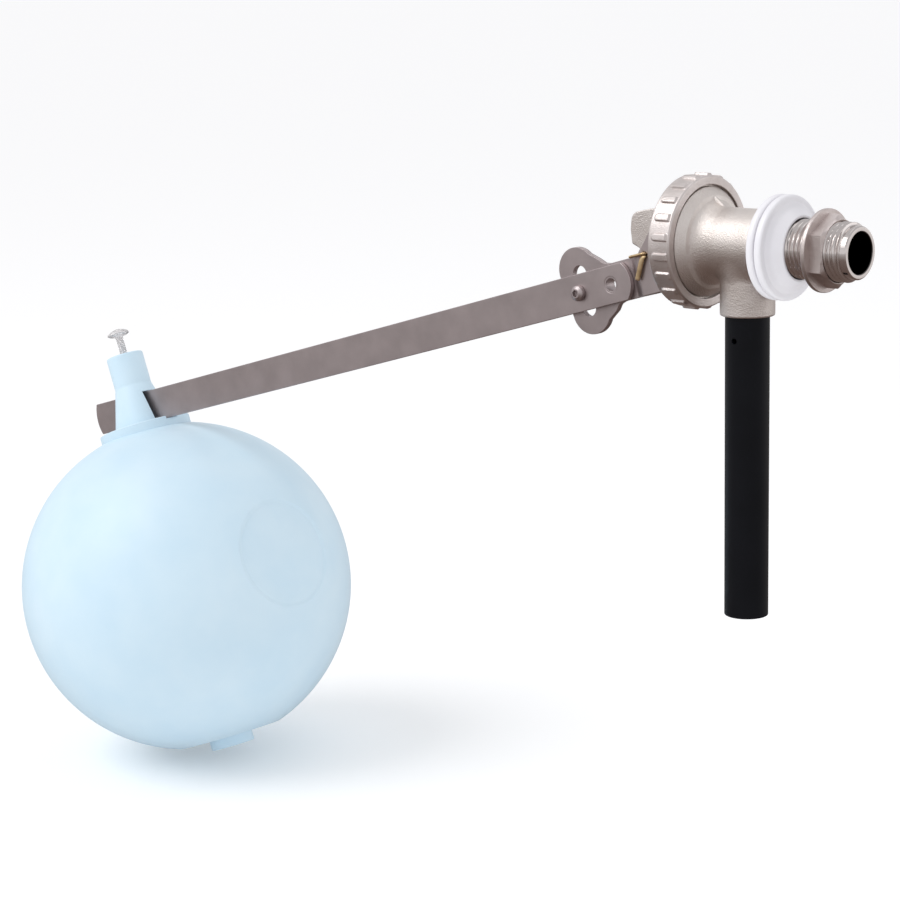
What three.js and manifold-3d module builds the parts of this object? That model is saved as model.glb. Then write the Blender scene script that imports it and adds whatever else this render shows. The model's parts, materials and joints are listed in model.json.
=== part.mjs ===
// Float valve for a water tank: a pipe-threaded inlet passes the tank wall, a ball float on a
// steel bar lifts a cranked lever, and the lever pushes a piston against the inlet nozzle.
//
// Units are millimetres. The origin lies on the inlet's axis, in the middle of the tank wall's
// place between the two white washers. +X points out of the tank along the inlet, +Z is up,
// the outlet tube hangs down and the arm reaches towards -X.

import * as THREE from "three";
import { mergeVertices } from "three/addons/utils/BufferGeometryUtils.js";
import Module from "manifold-3d";

// Running and seating clearances
const seatGap = 0.1; // between clamped faces
const slideGap = 0.15; // between a sliding piece and its guide, on the radius
const looseGap = 0.3; // between pieces that only come near each other

// Used throughout
const edge = 0.4; // a broken edge
const through = 1; // how far a cutter runs past the face it opens

// Inlet shank, G 1/2 pipe thread
const threadDiameter = 20.955;
const threadPitch = 1.814;
const threadDepth = 0.9;
const threadStart = 8;
const inletLength = 31.8; // from the wall plane to the inlet's end face
const inletWall = 2.2775; // between the bore and the thread's root
const noseLength = 2.9; // smooth end beyond the thread
const noseDrop = 1.1775; // below the thread's crest
const noseChamfer = 0.5;

// Wall washers and lock nut
const wallGap = 0.4;
const washerThickness = 3; // at the rim
const washerCone = 4.8; // how far the outer washer's hub stands above its rim
const washerHubWall = 0.8225;
const washerRimWidth = 7.05; // from the hub to the rim
const washerEdge = 1;
const nutWall = 0.7225; // between the thread and a flat
const nutFlangeRim = 3.4;
const nutFlangeThickness = 1.6;
const nutThickness = 6.8;
const nutPlace = 17; // from the wall plane to the nut's flange

// Cast body
const shoulderWidth = 2.4225; // from the thread to the barrel
const barrelWall = 2.4;
const bellFlare = 7; // from the barrel to the bell's rim
const bellLength = 10;
const bellStep = 0.6; // the bell's rim starts behind the ring nut's face
const rimSlope = 3; // the rim's sloped edge, along and across
const flangeGrip = 1.43; // how far the ring nut's lip reaches over the flange
const flangeThickness = 1.7;
const webThickness = 4;
const webPlace = -2.5; // inlet side of the web that holds the nozzle

// Ring nut
const ringPlace = -32.5; // front face
const ringWidth = 9.3;
const ringWall = 1.25;
const ringThreadDepth = 0.55;
const ringReveal = 0.67; // between the bell's rim and the lip
const ringLip = 1.6;
const ringChamfer = 0.4; // of the front edge
const ringBackChamfer = 0.7;
const ribCount = 21;
const ribHeight = 0.8;
const ribWidth = 2.6;
const ribLength = 6.9;
const ribPlace = -36.75;
const ribRoot = 1; // how deep a rib runs into the ring

// Outlet boss and tube, G 3/8
const outletPlace = -15.4;
const bossWall = 1.85;
const bossDrop = 25.2;
const bossChamfer = 1;
const tubeDiameter = 16;
const tubeWall = 2;
const tubeTop = -14.5;
const tubeBottom = -135.5;
const airHoleDiameter = 2.2;
const airHolePlace = -33.7;

// Nozzle and piston
const nozzleBore = 6.8;
const nozzleWall = 2.7;
const nozzleLip = 0.8; // wall of the nozzle's seat
const nozzleStep = 1; // of its tip, its neck and its inlet side
const nozzleTip = -22.4;
const nozzleFlangeRim = 2.1;
const nozzleFlangeThickness = 2;
const ringSeal = 1.2; // thickness of the nozzle's O-ring
const pistonTravel = 3.12;
const pistonHeadRoom = 2; // between the piston's head and the chamber
const pistonHeadLength = 6.4;
const pistonDiameter = 10;
const stemDiameter = 6;
const pistonSeal = 1; // thickness of the piston's O-ring
const pistonSealPlace = -41;
const seatDiscRim = 1.9; // beyond the nozzle's nose
const seatDiscThickness = 2.9;
const seatScrewDiameter = 2.8;
const seatScrewHeadRim = 1.1;
const seatScrewHeadHeight = 1.2;
const seatScrewLength = 7.4;
const seatScrewSlot = 0.6; // width and depth

// Cover with its lug
const coverThickness = 5.6;
const spigotStep = 2.7; // from the bell's rim
const spigotLength = 1.3;
const gasketThickness = 0.9;
const lugThickness = 6.6;
const lugReach = 23.4; // from the cover's back face
const lugTop = 12.5;
const lugBottom = 12;
const lugRoot = 1; // how deep the lug runs into the cover
const lugToe = 2.1; // from the pin's place up to the underside behind it
const lugUnderside = new THREE.Vector2(0.7, 3.6); // its far end, from the tip and the pin's place
const lugTailFoot = 9.6; // below the lug's top
const lugTailRound = new THREE.Vector2(1, -4); // from the tip and the lug's top
const lugTailEnd = new THREE.Vector2(9, -1.6);
const windowHeight = 8.6;
const windowLength = 13;

// Lever: two steel sheets on a split pin
const sheetThickness = 1.2;
const pivotPlace = new THREE.Vector2(-58.4, -6); // row X and Z
const pivotDiameter = 2.4;
const pivotEar = 3;
const splitLegs = [new THREE.Vector3(-5.8, 0, -1), new THREE.Vector3(-2.5, 0, -9.1)];
const pushPinDiameter = 3;
const pushPinEar = 2.9;
const pushPinOffset = new THREE.Vector2(4.7, 7.5); // from the pivot, at rest
const pushGap = 0.45; // between push pin and piston stem at rest
const stopGap = 0.35; // between the lever's nose and the cover at rest
const noseBottom = -10.5; // of the lever's nose, from the pivot
const noseTop = -4.5;
const pushEarArc = [-0.4, 2.4];
const pivotEarArc = [1.9, Math.PI - 0.25];
const neckTop = 0.6;
const neckBottom = -14.5;
const joggleStart = -9.2;
const joggleEnd = -4.4;

// Quadrant and arm
const armDip = THREE.MathUtils.degToRad(15.57);
const armHole = new THREE.Vector2(-19.8, -7.3); // from the pivot, along and across the arm
const armHoleDiameter = 6;
const armWidth = 14.2;
const armThickness = 2;
const armPlane = -2.5; // Y of the bar's middle
const armNearEnd = 9.6; // beyond the arm hole, towards the valve
const armFarEnd = 324.6; // beyond the arm hole, towards the float
const armEndRadius = 15;
const slotRadius = 16.4;
const slotHalfWidth = 3.3;
const slotTurn = THREE.MathUtils.degToRad(5); // about the slot's own middle
const slotUpperAngle = THREE.MathUtils.degToRad(24.5);
const slotLowerAngle = THREE.MathUtils.degToRad(23);
const upperLobe = { centre: new THREE.Vector2(-16.6, 8.6), radius: 8.8 }; // from the arm hole
const lowerLobe = { centre: new THREE.Vector2(-13.8, -7.2), radius: 9.3 };
const upperLobeArc = [0.6, Math.PI + 0.05];
const lowerLobeArc = [Math.PI + 0.25, 2 * Math.PI - 0.6];
const upperFillet = [
  new THREE.Vector2(-0.4, 0),
  new THREE.Vector2(-3, 0.7),
  new THREE.Vector2(-5.4, 2.8),
]; // from the arm hole's place and the neck's top
const lowerFillet = [
  new THREE.Vector2(-1.6, -2.6),
  new THREE.Vector2(0.2, -0.6),
  new THREE.Vector2(2.5, 0),
]; // from the arm hole's place and the neck's bottom
const clampPlace = 15.9; // from the arm hole, along the arm
const clampDiameter = 4;
const clampHeadRim = 1;
const clampHeadHeight = 2.4;
const clampHeadRound = [1.1, 0.5]; // across and along
const clampHeadSide = 1.2; // from the head's top to its full width
const clampSocket = 2.4;
const clampSocketDepth = 1.4;
const clampTail = 1; // beyond the nut
const clampWasherRim = 2.6;
const clampWasherThickness = 0.8;
const clampNutWall = 1.5;
const clampNutThickness = 3.2;
const rivetWall = 0.6;
const rivetFlangeRim = 1.1;
const rivetFlangeThickness = 0.7;

// Float
const floatDiameter = 150;
const floatWall = 2;
const floatPlace = 294.5; // from the arm hole, along the arm
const neckFloor = 0.8; // of the neck's slot, above the collar
const floatLean = THREE.MathUtils.degToRad(5.5);
const floatFlatRadius = 23.4;
const floatBossWall = 3.2;
const floatBossHeight = 5;
const plugInset = 0.6; // of the plug's foot in its boss
const plugDiameter = 13.6;
const plugLength = 10;
const collarRim = 7.4; // beyond the post's base
const collarRise = 1; // above the ball's top
const neckOffset = 1.6; // of the neck from the ball's axis, towards the valve
const postFlare = 5.1; // of the post's base
const postConeHeight = 19;
const postWall = 6.75; // round the thumb screw
const postRoof = 18.4; // above the slot
const postChamfer = 0.8;
const slotRoom = 2.1; // beside the bar, each way
const slotLength = 64; // of the cutter, right through the post's base
const thumbDiameter = 3.5;
const thumbHeadRim = 3.45;
const thumbHeadHeight = 3.2;
const thumbRise = 9.3; // of the head's underside above the post
const thumbNeck = 0.6; // height of the cone under the head
const thumbEdges = [1, 0.5, 2.2]; // the head's narrowing at its foot, its middle and its top
const thumbSide = 0.7;

// Worked out from the sizes above
const threadRadius = threadDiameter / 2;
const inletBore = threadDiameter - 2 * (threadDepth + inletWall);
const shoulder = -(wallGap / 2 + washerThickness + seatGap);
const washerBore = threadRadius + looseGap;
const washerHub = 2 * (washerBore + washerHubWall);
const washerDiameter = washerHub + 2 * washerRimWidth;
const nutAcrossFlats = threadDiameter + 2 * nutWall;
const nutFlangeDiameter = nutAcrossFlats + 2 * nutFlangeRim;
const barrelDiameter = threadDiameter + 2 * shoulderWidth;
const bellDiameter = barrelDiameter + 2 * bellFlare;
const ringOpening = bellDiameter + 2 * ringReveal;
const flangeDiameter = ringOpening + 2 * flangeGrip;
const ringDiameter = flangeDiameter + 2 * (ringThreadDepth + ringWall);
const spigotDiameter = bellDiameter - 2 * spigotStep;
const ringBack = ringPlace - ringWidth;
const bellFace = ringPlace - bellStep;
const flangeFront = ringPlace - ringLip - looseGap;
const flangeBack = flangeFront - flangeThickness;
const coverFront = flangeBack - gasketThickness - 2 * seatGap;
const coverBack = coverFront - coverThickness;
const ringBore = flangeDiameter / 2 + ringThreadDepth;
const coverRadius = ringBore - slideGap - seatGap;
const chamberRadius = barrelDiameter / 2 - barrelWall;
const bossDiameter = tubeDiameter + 2 * bossWall;
const tubeBore = tubeDiameter - 2 * tubeWall;
const nozzleDiameter = nozzleBore + 2 * nozzleWall;
const nozzleNose = nozzleBore + 2 * nozzleLip;
const nozzleFlange = nozzleDiameter + 2 * nozzleFlangeRim;
const pistonHead = 2 * (chamberRadius - pistonHeadRoom);
const seatDiscDiameter = nozzleNose + 2 * seatDiscRim;
const seatScrewHead = seatScrewDiameter + 2 * seatScrewHeadRim;
const bellEnd = bellFace + bellLength;
const webBack = webPlace - webThickness;
const seatFace = nozzleTip - looseGap - pistonTravel;
const headFront = seatFace - looseGap;
const headBack = headFront - pistonHeadLength;
const pushPinPlace = pivotPlace.clone().add(pushPinOffset);
const stemEnd = pushPinPlace.x + pushPinDiameter / 2 + pushGap;
const plungerEnd = coverBack - 0.5;
const sheetInner = lugThickness / 2 + looseGap;
const frontSheetPlane = armPlane + armThickness / 2 + seatGap;
const rearSheetPlane = frontSheetPlane + sheetThickness + seatGap;
const rearFace = rearSheetPlane + sheetThickness;
const rivetBore = armHoleDiameter - 2 * rivetWall;
const rivetFlange = armHoleDiameter + 2 * rivetFlangeRim;
const clampHead = clampDiameter + 2 * clampHeadRim;
const clampWasher = clampDiameter + 2 * clampWasherRim;
const clampNutAcrossFlats = clampDiameter + 2 * clampNutWall;
const floatRadius = floatDiameter / 2;
const collarHeight = floatRadius + collarRise;
const floatDrop = collarHeight + neckFloor + looseGap + armWidth / 2;
const floatBoss = plugDiameter + 2 * floatBossWall;
const postDiameter = thumbDiameter + 2 * postWall;
const postBase = postDiameter + 2 * postFlare;
const collarDiameter = postBase + 2 * collarRim;
const postWaist = collarHeight + postConeHeight;
const postHeight = floatDrop + armWidth / 2 + looseGap + postRoof;
const slotWidth = armThickness + 2 * slotRoom;
const thumbHead = thumbDiameter + 2 * thumbHeadRim;

const wasm = await Module();
wasm.setup();

// ---- shapes and joins ----

function solid(geometry) {
  const bare = geometry.clone();
  bare.deleteAttribute("normal");
  bare.deleteAttribute("uv");
  const merged = mergeVertices(bare, 1e-4);
  const mesh = new wasm.Mesh({
    numProp: 3,
    vertProperties: merged.attributes.position.array,
    triVerts: new Uint32Array(merged.index.array),
  });
  return new wasm.Manifold(mesh);
}

function geometryOf(shape) {
  const mesh = shape.getMesh();
  const geometry = new THREE.BufferGeometry();
  geometry.setAttribute("position", new THREE.BufferAttribute(mesh.vertProperties, 3));
  geometry.setIndex(new THREE.BufferAttribute(mesh.triVerts, 1));
  geometry.computeVertexNormals();
  return geometry;
}

// A profile of [place along the axis, radius] pairs, from the low end outwards and back.
function lathe(profile, segments) {
  const points = profile.map(([along, radius]) => new THREE.Vector2(radius, along));
  return new THREE.LatheGeometry(points, segments);
}

function turnedAlongX(profile, segments = 32) {
  return solid(lathe(profile, segments).rotateZ(-Math.PI / 2));
}

function turnedAlongZ(profile, segments = 28) {
  return solid(lathe(profile, segments).rotateX(Math.PI / 2));
}

// A turned piece along Y, whose profile runs from the front (-Y) to the back.
function turnedAlongY(profile, x, z, segments = 20) {
  return solid(lathe(profile, segments).translate(x, 0, z));
}

function rod(low, high, radius) {
  return [
    [low, 0],
    [low, radius],
    [high, radius],
    [high, 0],
  ];
}

function tube(low, high, bore, radius) {
  return [
    [low, bore],
    [low, radius],
    [high, radius],
    [high, bore],
    [low, bore],
  ];
}

function box(low, high) {
  const size = new THREE.Vector3().subVectors(high, low);
  const middle = new THREE.Vector3().addVectors(high, low).multiplyScalar(0.5);
  return solid(new THREE.BoxGeometry(size.x, size.y, size.z).translate(middle.x, middle.y, middle.z));
}

// An outline in X and Z made a plate between two places on Y.
function plate(outline, front, back, curveSegments = 8) {
  const geometry = new THREE.ExtrudeGeometry(outline, {
    depth: back - front,
    bevelEnabled: false,
    curveSegments,
  });
  return solid(geometry.rotateX(Math.PI / 2).translate(0, back, 0));
}

function arcPoints(centre, radius, start, end, steps) {
  return Array.from({ length: steps + 1 }, (_, i) => {
    const angle = start + ((end - start) * i) / steps;
    return new THREE.Vector2(centre.x + radius * Math.cos(angle), centre.y + radius * Math.sin(angle));
  });
}

function ringSealShape(place, radius, thickness) {
  const geometry = new THREE.TorusGeometry(radius, thickness / 2, 6, 20);
  return solid(geometry.rotateY(Math.PI / 2).translate(place, 0, 0));
}

function hexPrism(acrossFlats, low, high) {
  const radius = acrossFlats / Math.sqrt(3);
  const geometry = new THREE.CylinderGeometry(radius, radius, high - low, 6);
  return solid(geometry.translate(0, (low + high) / 2, 0));
}

// ---- finishes ----

const finishes = {
  nickel: { color: 0xb9b2aa, roughness: 0.32, metalness: 1 },
  brass: { color: 0xc9a352, roughness: 0.3, metalness: 1 },
  steel: { color: 0x8f8783, roughness: 0.42, metalness: 1 },
  floatPlastic: { color: 0xcfe6f2, roughness: 0.5, metalness: 0 },
  whitePlastic: { color: 0xeeeef2, roughness: 0.4, metalness: 0 },
  clearPlastic: { color: 0xe6e2e2, roughness: 0.15, metalness: 0 },
  blackPlastic: { color: 0x17191c, roughness: 0.45, metalness: 0 },
  acetal: { color: 0xe8e6de, roughness: 0.45, metalness: 0 },
  rubber: { color: 0x1b1b1b, roughness: 0.8, metalness: 0 },
};

function piece(name, shape, finish) {
  const mesh = new THREE.Mesh(geometryOf(shape), new THREE.MeshStandardMaterial(finishes[finish]));
  mesh.name = name;
  return mesh;
}

// ---- body ----

// A quarter ellipse that starts square to the axis and runs out along it at the bell's end.
function flare(startRadius, endRadius, length, firstAngle, steps) {
  return Array.from({ length: steps + 1 }, (_, i) => {
    const angle = firstAngle + ((Math.PI / 2 - firstAngle) * i) / steps;
    const fall = (startRadius - endRadius) * Math.sin(angle);
    return [bellEnd - length * Math.cos(angle), startRadius - fall];
  });
}

function threadProfile(from, to) {
  const turns = Math.floor((to - from) / threadPitch);
  const pitch = (to - from) / turns;
  const points = [];
  for (let i = 0; i < turns; i += 1) {
    points.push([from + pitch * i, threadRadius - threadDepth]);
    points.push([from + pitch * (i + 0.5), threadRadius]);
  }
  points.push([to, threadRadius - threadDepth]);
  return points;
}

function valveBody() {
  const noseStart = inletLength - noseLength;
  const noseRadius = threadRadius - noseDrop;
  const outside = turnedAlongX([
    [flangeBack, 0],
    [flangeBack, flangeDiameter / 2],
    [flangeFront, flangeDiameter / 2],
    [flangeFront, ringOpening / 2 - looseGap],
    [bellFace - edge, ringOpening / 2 - looseGap],
    [bellFace, bellDiameter / 2],
    ...flare(bellDiameter / 2 - rimSlope, barrelDiameter / 2, bellLength - rimSlope, 0, 7),
    [shoulder, barrelDiameter / 2],
    [shoulder, threadRadius - threadDepth],
    ...threadProfile(threadStart, noseStart),
    [noseStart, noseRadius],
    [inletLength - noseChamfer, noseRadius],
    [inletLength, noseRadius - noseChamfer],
    [inletLength, 0],
  ]);
  const boss = turnedAlongZ([
    [-bossDrop, 0],
    [-bossDrop, bossDiameter / 2 - bossChamfer],
    [bossChamfer - bossDrop, bossDiameter / 2],
    [0, bossDiameter / 2],
    [0, 0],
  ]).translate([outletPlace, 0, 0]);
  const mouth = spigotDiameter / 2 + seatGap;
  const mouthAngle = Math.asin((bellDiameter / 2 - mouth) / (bellDiameter / 2 - chamberRadius));
  const chamber = turnedAlongX([
    [flangeBack - through, 0],
    [flangeBack - through, mouth],
    ...flare(bellDiameter / 2, chamberRadius, bellLength + barrelWall, mouthAngle, 5),
    [webBack, chamberRadius],
    [webBack, 0],
  ]);
  const inlet = turnedAlongX(rod(webPlace, inletLength + through, inletBore / 2));
  const nozzleSeat = nozzleDiameter / 2 + seatGap;
  const nozzleHole = turnedAlongX(rod(webBack - through, webPlace + through, nozzleSeat));
  const socket = turnedAlongZ(rod(-bossDrop - through, tubeTop + looseGap, tubeDiameter / 2 + slideGap));
  const passage = turnedAlongZ(rod(tubeTop - through, -chamberRadius / 2, tubeBore / 2));
  return outside
    .add(boss)
    .subtract(chamber)
    .subtract(inlet)
    .subtract(nozzleHole)
    .subtract(socket.translate([outletPlace, 0, 0]))
    .subtract(passage.translate([outletPlace, 0, 0]));
}

function seatNozzle() {
  const flangeEnd = webBack - looseGap - ringSeal;
  const body = nozzleDiameter / 2;
  return turnedAlongX(
    [
      [nozzleTip, nozzleBore / 2],
      [nozzleTip, nozzleNose / 2],
      [nozzleTip + nozzleStep, body - nozzleStep],
      [flangeEnd - nozzleFlangeThickness, body - nozzleStep],
      [flangeEnd - nozzleFlangeThickness, nozzleFlange / 2],
      [flangeEnd, nozzleFlange / 2],
      [flangeEnd, body],
      [webPlace + nozzleStep, body],
      [webPlace + nozzleStep, nozzleBore / 2 + nozzleStep],
      [webPlace, nozzleBore / 2],
      [nozzleTip, nozzleBore / 2],
    ],
    24,
  );
}

function nozzleSeal() {
  const radius = nozzleDiameter / 2 + seatGap + ringSeal / 2;
  return ringSealShape(webBack - (looseGap + ringSeal) / 2, radius, ringSeal);
}

// ---- cover and ring nut ----

function lugOutline() {
  const tip = coverBack - lugReach;
  const heel = pivotPlace.x + joggleEnd + 3 * looseGap;
  const outline = new THREE.Shape();
  outline.moveTo(coverBack + lugRoot, -lugBottom);
  outline.lineTo(pivotPlace.x, -lugBottom);
  outline.quadraticCurveTo(heel, -lugBottom, heel, pivotPlace.y);
  outline.lineTo(heel, pivotPlace.y + lugToe);
  outline.lineTo(tip + lugUnderside.x, pivotPlace.y + lugUnderside.y);
  outline.lineTo(tip, lugTop - lugTailFoot);
  outline.quadraticCurveTo(
    tip + lugTailRound.x,
    lugTop + lugTailRound.y,
    tip + lugTailEnd.x,
    lugTop + lugTailEnd.y,
  );
  outline.lineTo(coverBack + lugRoot, lugTop);
  return outline;
}

function cover() {
  const disc = turnedAlongX([
    [coverBack, 0],
    [coverBack, coverRadius - edge],
    [coverBack + edge, coverRadius],
    [coverFront, coverRadius],
    [coverFront, spigotDiameter / 2],
    [coverFront + spigotLength, spigotDiameter / 2],
    [coverFront + spigotLength, 0],
  ]);
  const lug = plate(lugOutline(), -lugThickness / 2, lugThickness / 2);
  const boreRadius = pistonDiameter / 2 + slideGap;
  const boreEnd = coverFront + spigotLength + through;
  const bore = turnedAlongX(rod(coverBack - through, boreEnd, boreRadius), 32);
  const window = box(
    new THREE.Vector3(coverBack - windowLength, -lugThickness, -windowHeight / 2),
    new THREE.Vector3(coverBack, lugThickness, windowHeight / 2),
  );
  const pinHole = turnedAlongY(
    rod(-lugThickness, lugThickness, pivotDiameter / 2 + seatGap),
    pivotPlace.x,
    pivotPlace.y,
    16,
  );
  return disc.add(lug).subtract(bore).subtract(window).subtract(pinHole);
}

function coverGasket() {
  return turnedAlongX(
    tube(
      coverFront + seatGap,
      coverFront + seatGap + gasketThickness,
      spigotDiameter / 2 + seatGap,
      flangeDiameter / 2 - seatGap,
    ),
  );
}

function ringNut() {
  const radius = ringDiameter / 2;
  const lipBack = ringPlace - ringLip;
  let shape = turnedAlongX(
    [
      [ringBack, ringBore],
      [ringBack, radius - ringBackChamfer],
      [ringBack + ringBackChamfer, radius],
      [ringPlace - ringChamfer, radius],
      [ringPlace, radius - ringChamfer],
      [ringPlace, ringOpening / 2 + edge],
      [ringPlace - edge, ringOpening / 2],
      [lipBack, ringOpening / 2],
      [lipBack, ringBore],
      [ringBack, ringBore],
    ],
    ribCount * 3,
  );
  for (let i = 0; i < ribCount; i += 1) {
    const rib = new THREE.BoxGeometry(ribLength, ribWidth, ribHeight + ribRoot);
    rib.translate(ribPlace, 0, radius + (ribHeight - ribRoot) / 2);
    rib.rotateX((2 * Math.PI * i) / ribCount);
    shape = shape.add(solid(rib));
  }
  return shape;
}

// ---- piston ----

function piston() {
  const seal = pistonSeal + 2 * slideGap;
  const grooveRadius = pistonDiameter / 2 - pistonSeal - seatGap;
  const pocketRadius = seatDiscDiameter / 2 + slideGap;
  const pocketFloor = seatFace - seatDiscThickness - seatGap;
  return turnedAlongX(
    [
      [stemEnd, 0],
      [stemEnd, stemDiameter / 2 - edge],
      [stemEnd + edge, stemDiameter / 2],
      [plungerEnd, stemDiameter / 2],
      [plungerEnd, pistonDiameter / 2],
      [pistonSealPlace - seal / 2, pistonDiameter / 2],
      [pistonSealPlace - seal / 2, grooveRadius],
      [pistonSealPlace + seal / 2, grooveRadius],
      [pistonSealPlace + seal / 2, pistonDiameter / 2],
      [headBack, pistonDiameter / 2],
      [headBack, pistonHead / 2],
      [headFront, pistonHead / 2],
      [headFront, pocketRadius],
      [pocketFloor, pocketRadius],
      [pocketFloor, seatScrewDiameter / 2 + seatGap],
      [pocketFloor - seatScrewLength, seatScrewDiameter / 2 + seatGap],
      [pocketFloor - seatScrewLength, 0],
    ],
    24,
  );
}

function pistonRing() {
  return ringSealShape(pistonSealPlace, pistonDiameter / 2 - pistonSeal / 2, pistonSeal);
}

function seatDisc() {
  const bore = seatScrewDiameter / 2 + seatGap;
  return turnedAlongX(tube(seatFace - seatDiscThickness, seatFace, bore, seatDiscDiameter / 2), 24);
}

function seatScrew() {
  const underHead = seatFace + seatGap;
  const top = underHead + seatScrewHeadHeight;
  const shank = turnedAlongX(
    [
      [seatFace - seatScrewLength, 0],
      [seatFace - seatScrewLength, seatScrewDiameter / 2],
      [underHead, seatScrewDiameter / 2],
      [underHead, seatScrewHead / 2],
      [top - edge, seatScrewHead / 2],
      [top, seatScrewHead / 2 - edge],
      [top, 0],
    ],
    20,
  );
  const slot = box(
    new THREE.Vector3(top - seatScrewSlot, -seatScrewHead, -seatScrewSlot / 2),
    new THREE.Vector3(top + through, seatScrewHead, seatScrewSlot / 2),
  );
  return shank.subtract(slot);
}

// ---- lever, in its own frame: origin at the pivot, the arm reaching towards -X ----

// A place given along the row's X and Z from the pivot, turned into the lever's frame.
function leverPoint(x, z) {
  return new THREE.Vector2(x, z).rotateAround(new THREE.Vector2(0, 0), -armDip);
}

function slotEnd(angle) {
  return new THREE.Vector2(Math.cos(angle), Math.sin(angle)).multiplyScalar(slotRadius).add(armHole);
}

function leverOutline() {
  const nose = coverBack - stopGap - pivotPlace.x;
  const noseLow = leverPoint(nose, noseBottom);
  const noseHigh = leverPoint(nose, noseTop);
  const push = leverPoint(pushPinOffset.x, pushPinOffset.y);
  const upper = upperLobe.centre.clone().add(armHole);
  const lower = lowerLobe.centre.clone().add(armHole);
  const points = [
    new THREE.Vector2(noseLow.x, neckBottom),
    noseLow,
    noseHigh,
    ...arcPoints(push, pushPinEar, ...pushEarArc, 6),
    ...arcPoints(new THREE.Vector2(0, 0), pivotEar, ...pivotEarArc, 4),
    new THREE.Vector2(joggleEnd, neckTop),
    ...upperFillet.map((point) => new THREE.Vector2(armHole.x + point.x, neckTop + point.y)),
    ...arcPoints(upper, upperLobe.radius, ...upperLobeArc, 12),
    ...arcPoints(lower, lowerLobe.radius, ...lowerLobeArc, 12),
    ...lowerFillet.map((point) => new THREE.Vector2(armHole.x + point.x, neckBottom + point.y)),
  ];
  const outline = new THREE.Shape(points);
  outline.holes.push(slotHole(), roundHole(armHole, armHoleDiameter / 2 + seatGap));
  outline.holes.push(roundHole(new THREE.Vector2(0, 0), pivotDiameter / 2 + seatGap));
  outline.holes.push(roundHole(push, pushPinDiameter / 2 + seatGap));
  return outline;
}

function roundHole(centre, radius) {
  return new THREE.Path(arcPoints(centre, radius, 0, 2 * Math.PI, 18).slice(0, -1));
}

function slotHole() {
  const start = Math.PI - slotUpperAngle;
  const end = Math.PI + slotLowerAngle;
  const middle = new THREE.Vector2(armHole.x - slotRadius, armHole.y);
  const points = [
    ...arcPoints(armHole, slotRadius + slotHalfWidth, start, end, 8).slice(0, -1),
    ...arcPoints(slotEnd(end), slotHalfWidth, end, end + Math.PI, 6).slice(0, -1),
    ...arcPoints(armHole, slotRadius - slotHalfWidth, end, start, 8).slice(0, -1),
    ...arcPoints(slotEnd(start), slotHalfWidth, start - Math.PI, start, 6).slice(0, -1),
  ];
  return new THREE.Path(points.map((point) => point.rotateAround(middle, slotTurn)));
}

// A sheet lies flat behind the bar and steps aside, past the joggle, to clear the lug.
function leverSheet(quadrantPlane, lugPlane) {
  const left = armHole.x + upperLobe.centre.x - 2 * upperLobe.radius;
  const right = 2 * (coverBack - pivotPlace.x);
  const strip = new THREE.Shape([
    new THREE.Vector2(left, quadrantPlane),
    new THREE.Vector2(joggleStart, quadrantPlane),
    new THREE.Vector2(joggleEnd, lugPlane),
    new THREE.Vector2(right, lugPlane),
    new THREE.Vector2(right, lugPlane + sheetThickness),
    new THREE.Vector2(joggleEnd, lugPlane + sheetThickness),
    new THREE.Vector2(joggleStart, quadrantPlane + sheetThickness),
    new THREE.Vector2(left, quadrantPlane + sheetThickness),
  ]);
  const height = 4 * armWidth + 2 * lowerLobe.radius;
  const ribbon = new THREE.ExtrudeGeometry(strip, { depth: height, bevelEnabled: false });
  const blank = solid(ribbon.translate(0, 0, -height / 2));
  return blank.intersect(plate(leverOutline(), -2 * sheetInner, 2 * sheetInner));
}

function pushPin() {
  const place = leverPoint(pushPinOffset.x, pushPinOffset.y);
  const end = sheetInner + sheetThickness;
  return turnedAlongY(rod(-end, end, pushPinDiameter / 2), place.x, place.y);
}

function armRivet() {
  const front = armPlane - armThickness / 2;
  return turnedAlongY(
    [
      [front, rivetBore / 2],
      [front, armHoleDiameter / 2],
      [rearFace + seatGap, armHoleDiameter / 2],
      [rearFace + seatGap, rivetFlange / 2],
      [rearFace + seatGap + rivetFlangeThickness, rivetFlange / 2],
      [rearFace + seatGap + rivetFlangeThickness, rivetBore / 2],
      [front, rivetBore / 2],
    ],
    armHole.x,
    armHole.y,
    24,
  );
}

// The split pin's two legs are bent apart in front of the lever, and its eye stands behind.
function splitPin() {
  const wire = pivotDiameter / 4;
  const front = -(sheetInner + sheetThickness + looseGap);
  const back = sheetInner + sheetThickness + looseGap;
  const eye = new THREE.TorusGeometry(pivotDiameter, wire, 8, 18);
  let shape = turnedAlongY(rod(front - 2 * wire, back + wire, pivotDiameter / 2), 0, 0, 16);
  shape = shape.add(solid(eye.rotateY(Math.PI / 2).translate(0, back + pivotDiameter, 0)));
  const upright = new THREE.Vector3(0, 1, 0);
  for (const way of splitLegs) {
    const leg = new THREE.CylinderGeometry(wire * 0.8, wire, way.length(), 10);
    const turn = new THREE.Quaternion().setFromUnitVectors(upright, way.clone().normalize());
    leg.translate(0, way.length() / 2, 0);
    leg.applyQuaternion(turn);
    leg.translate(0, front - wire, 0);
    shape = shape.add(solid(leg));
  }
  return shape;
}

// ---- arm, in its own frame: origin at the arm hole, the bar reaching towards -X ----

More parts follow.
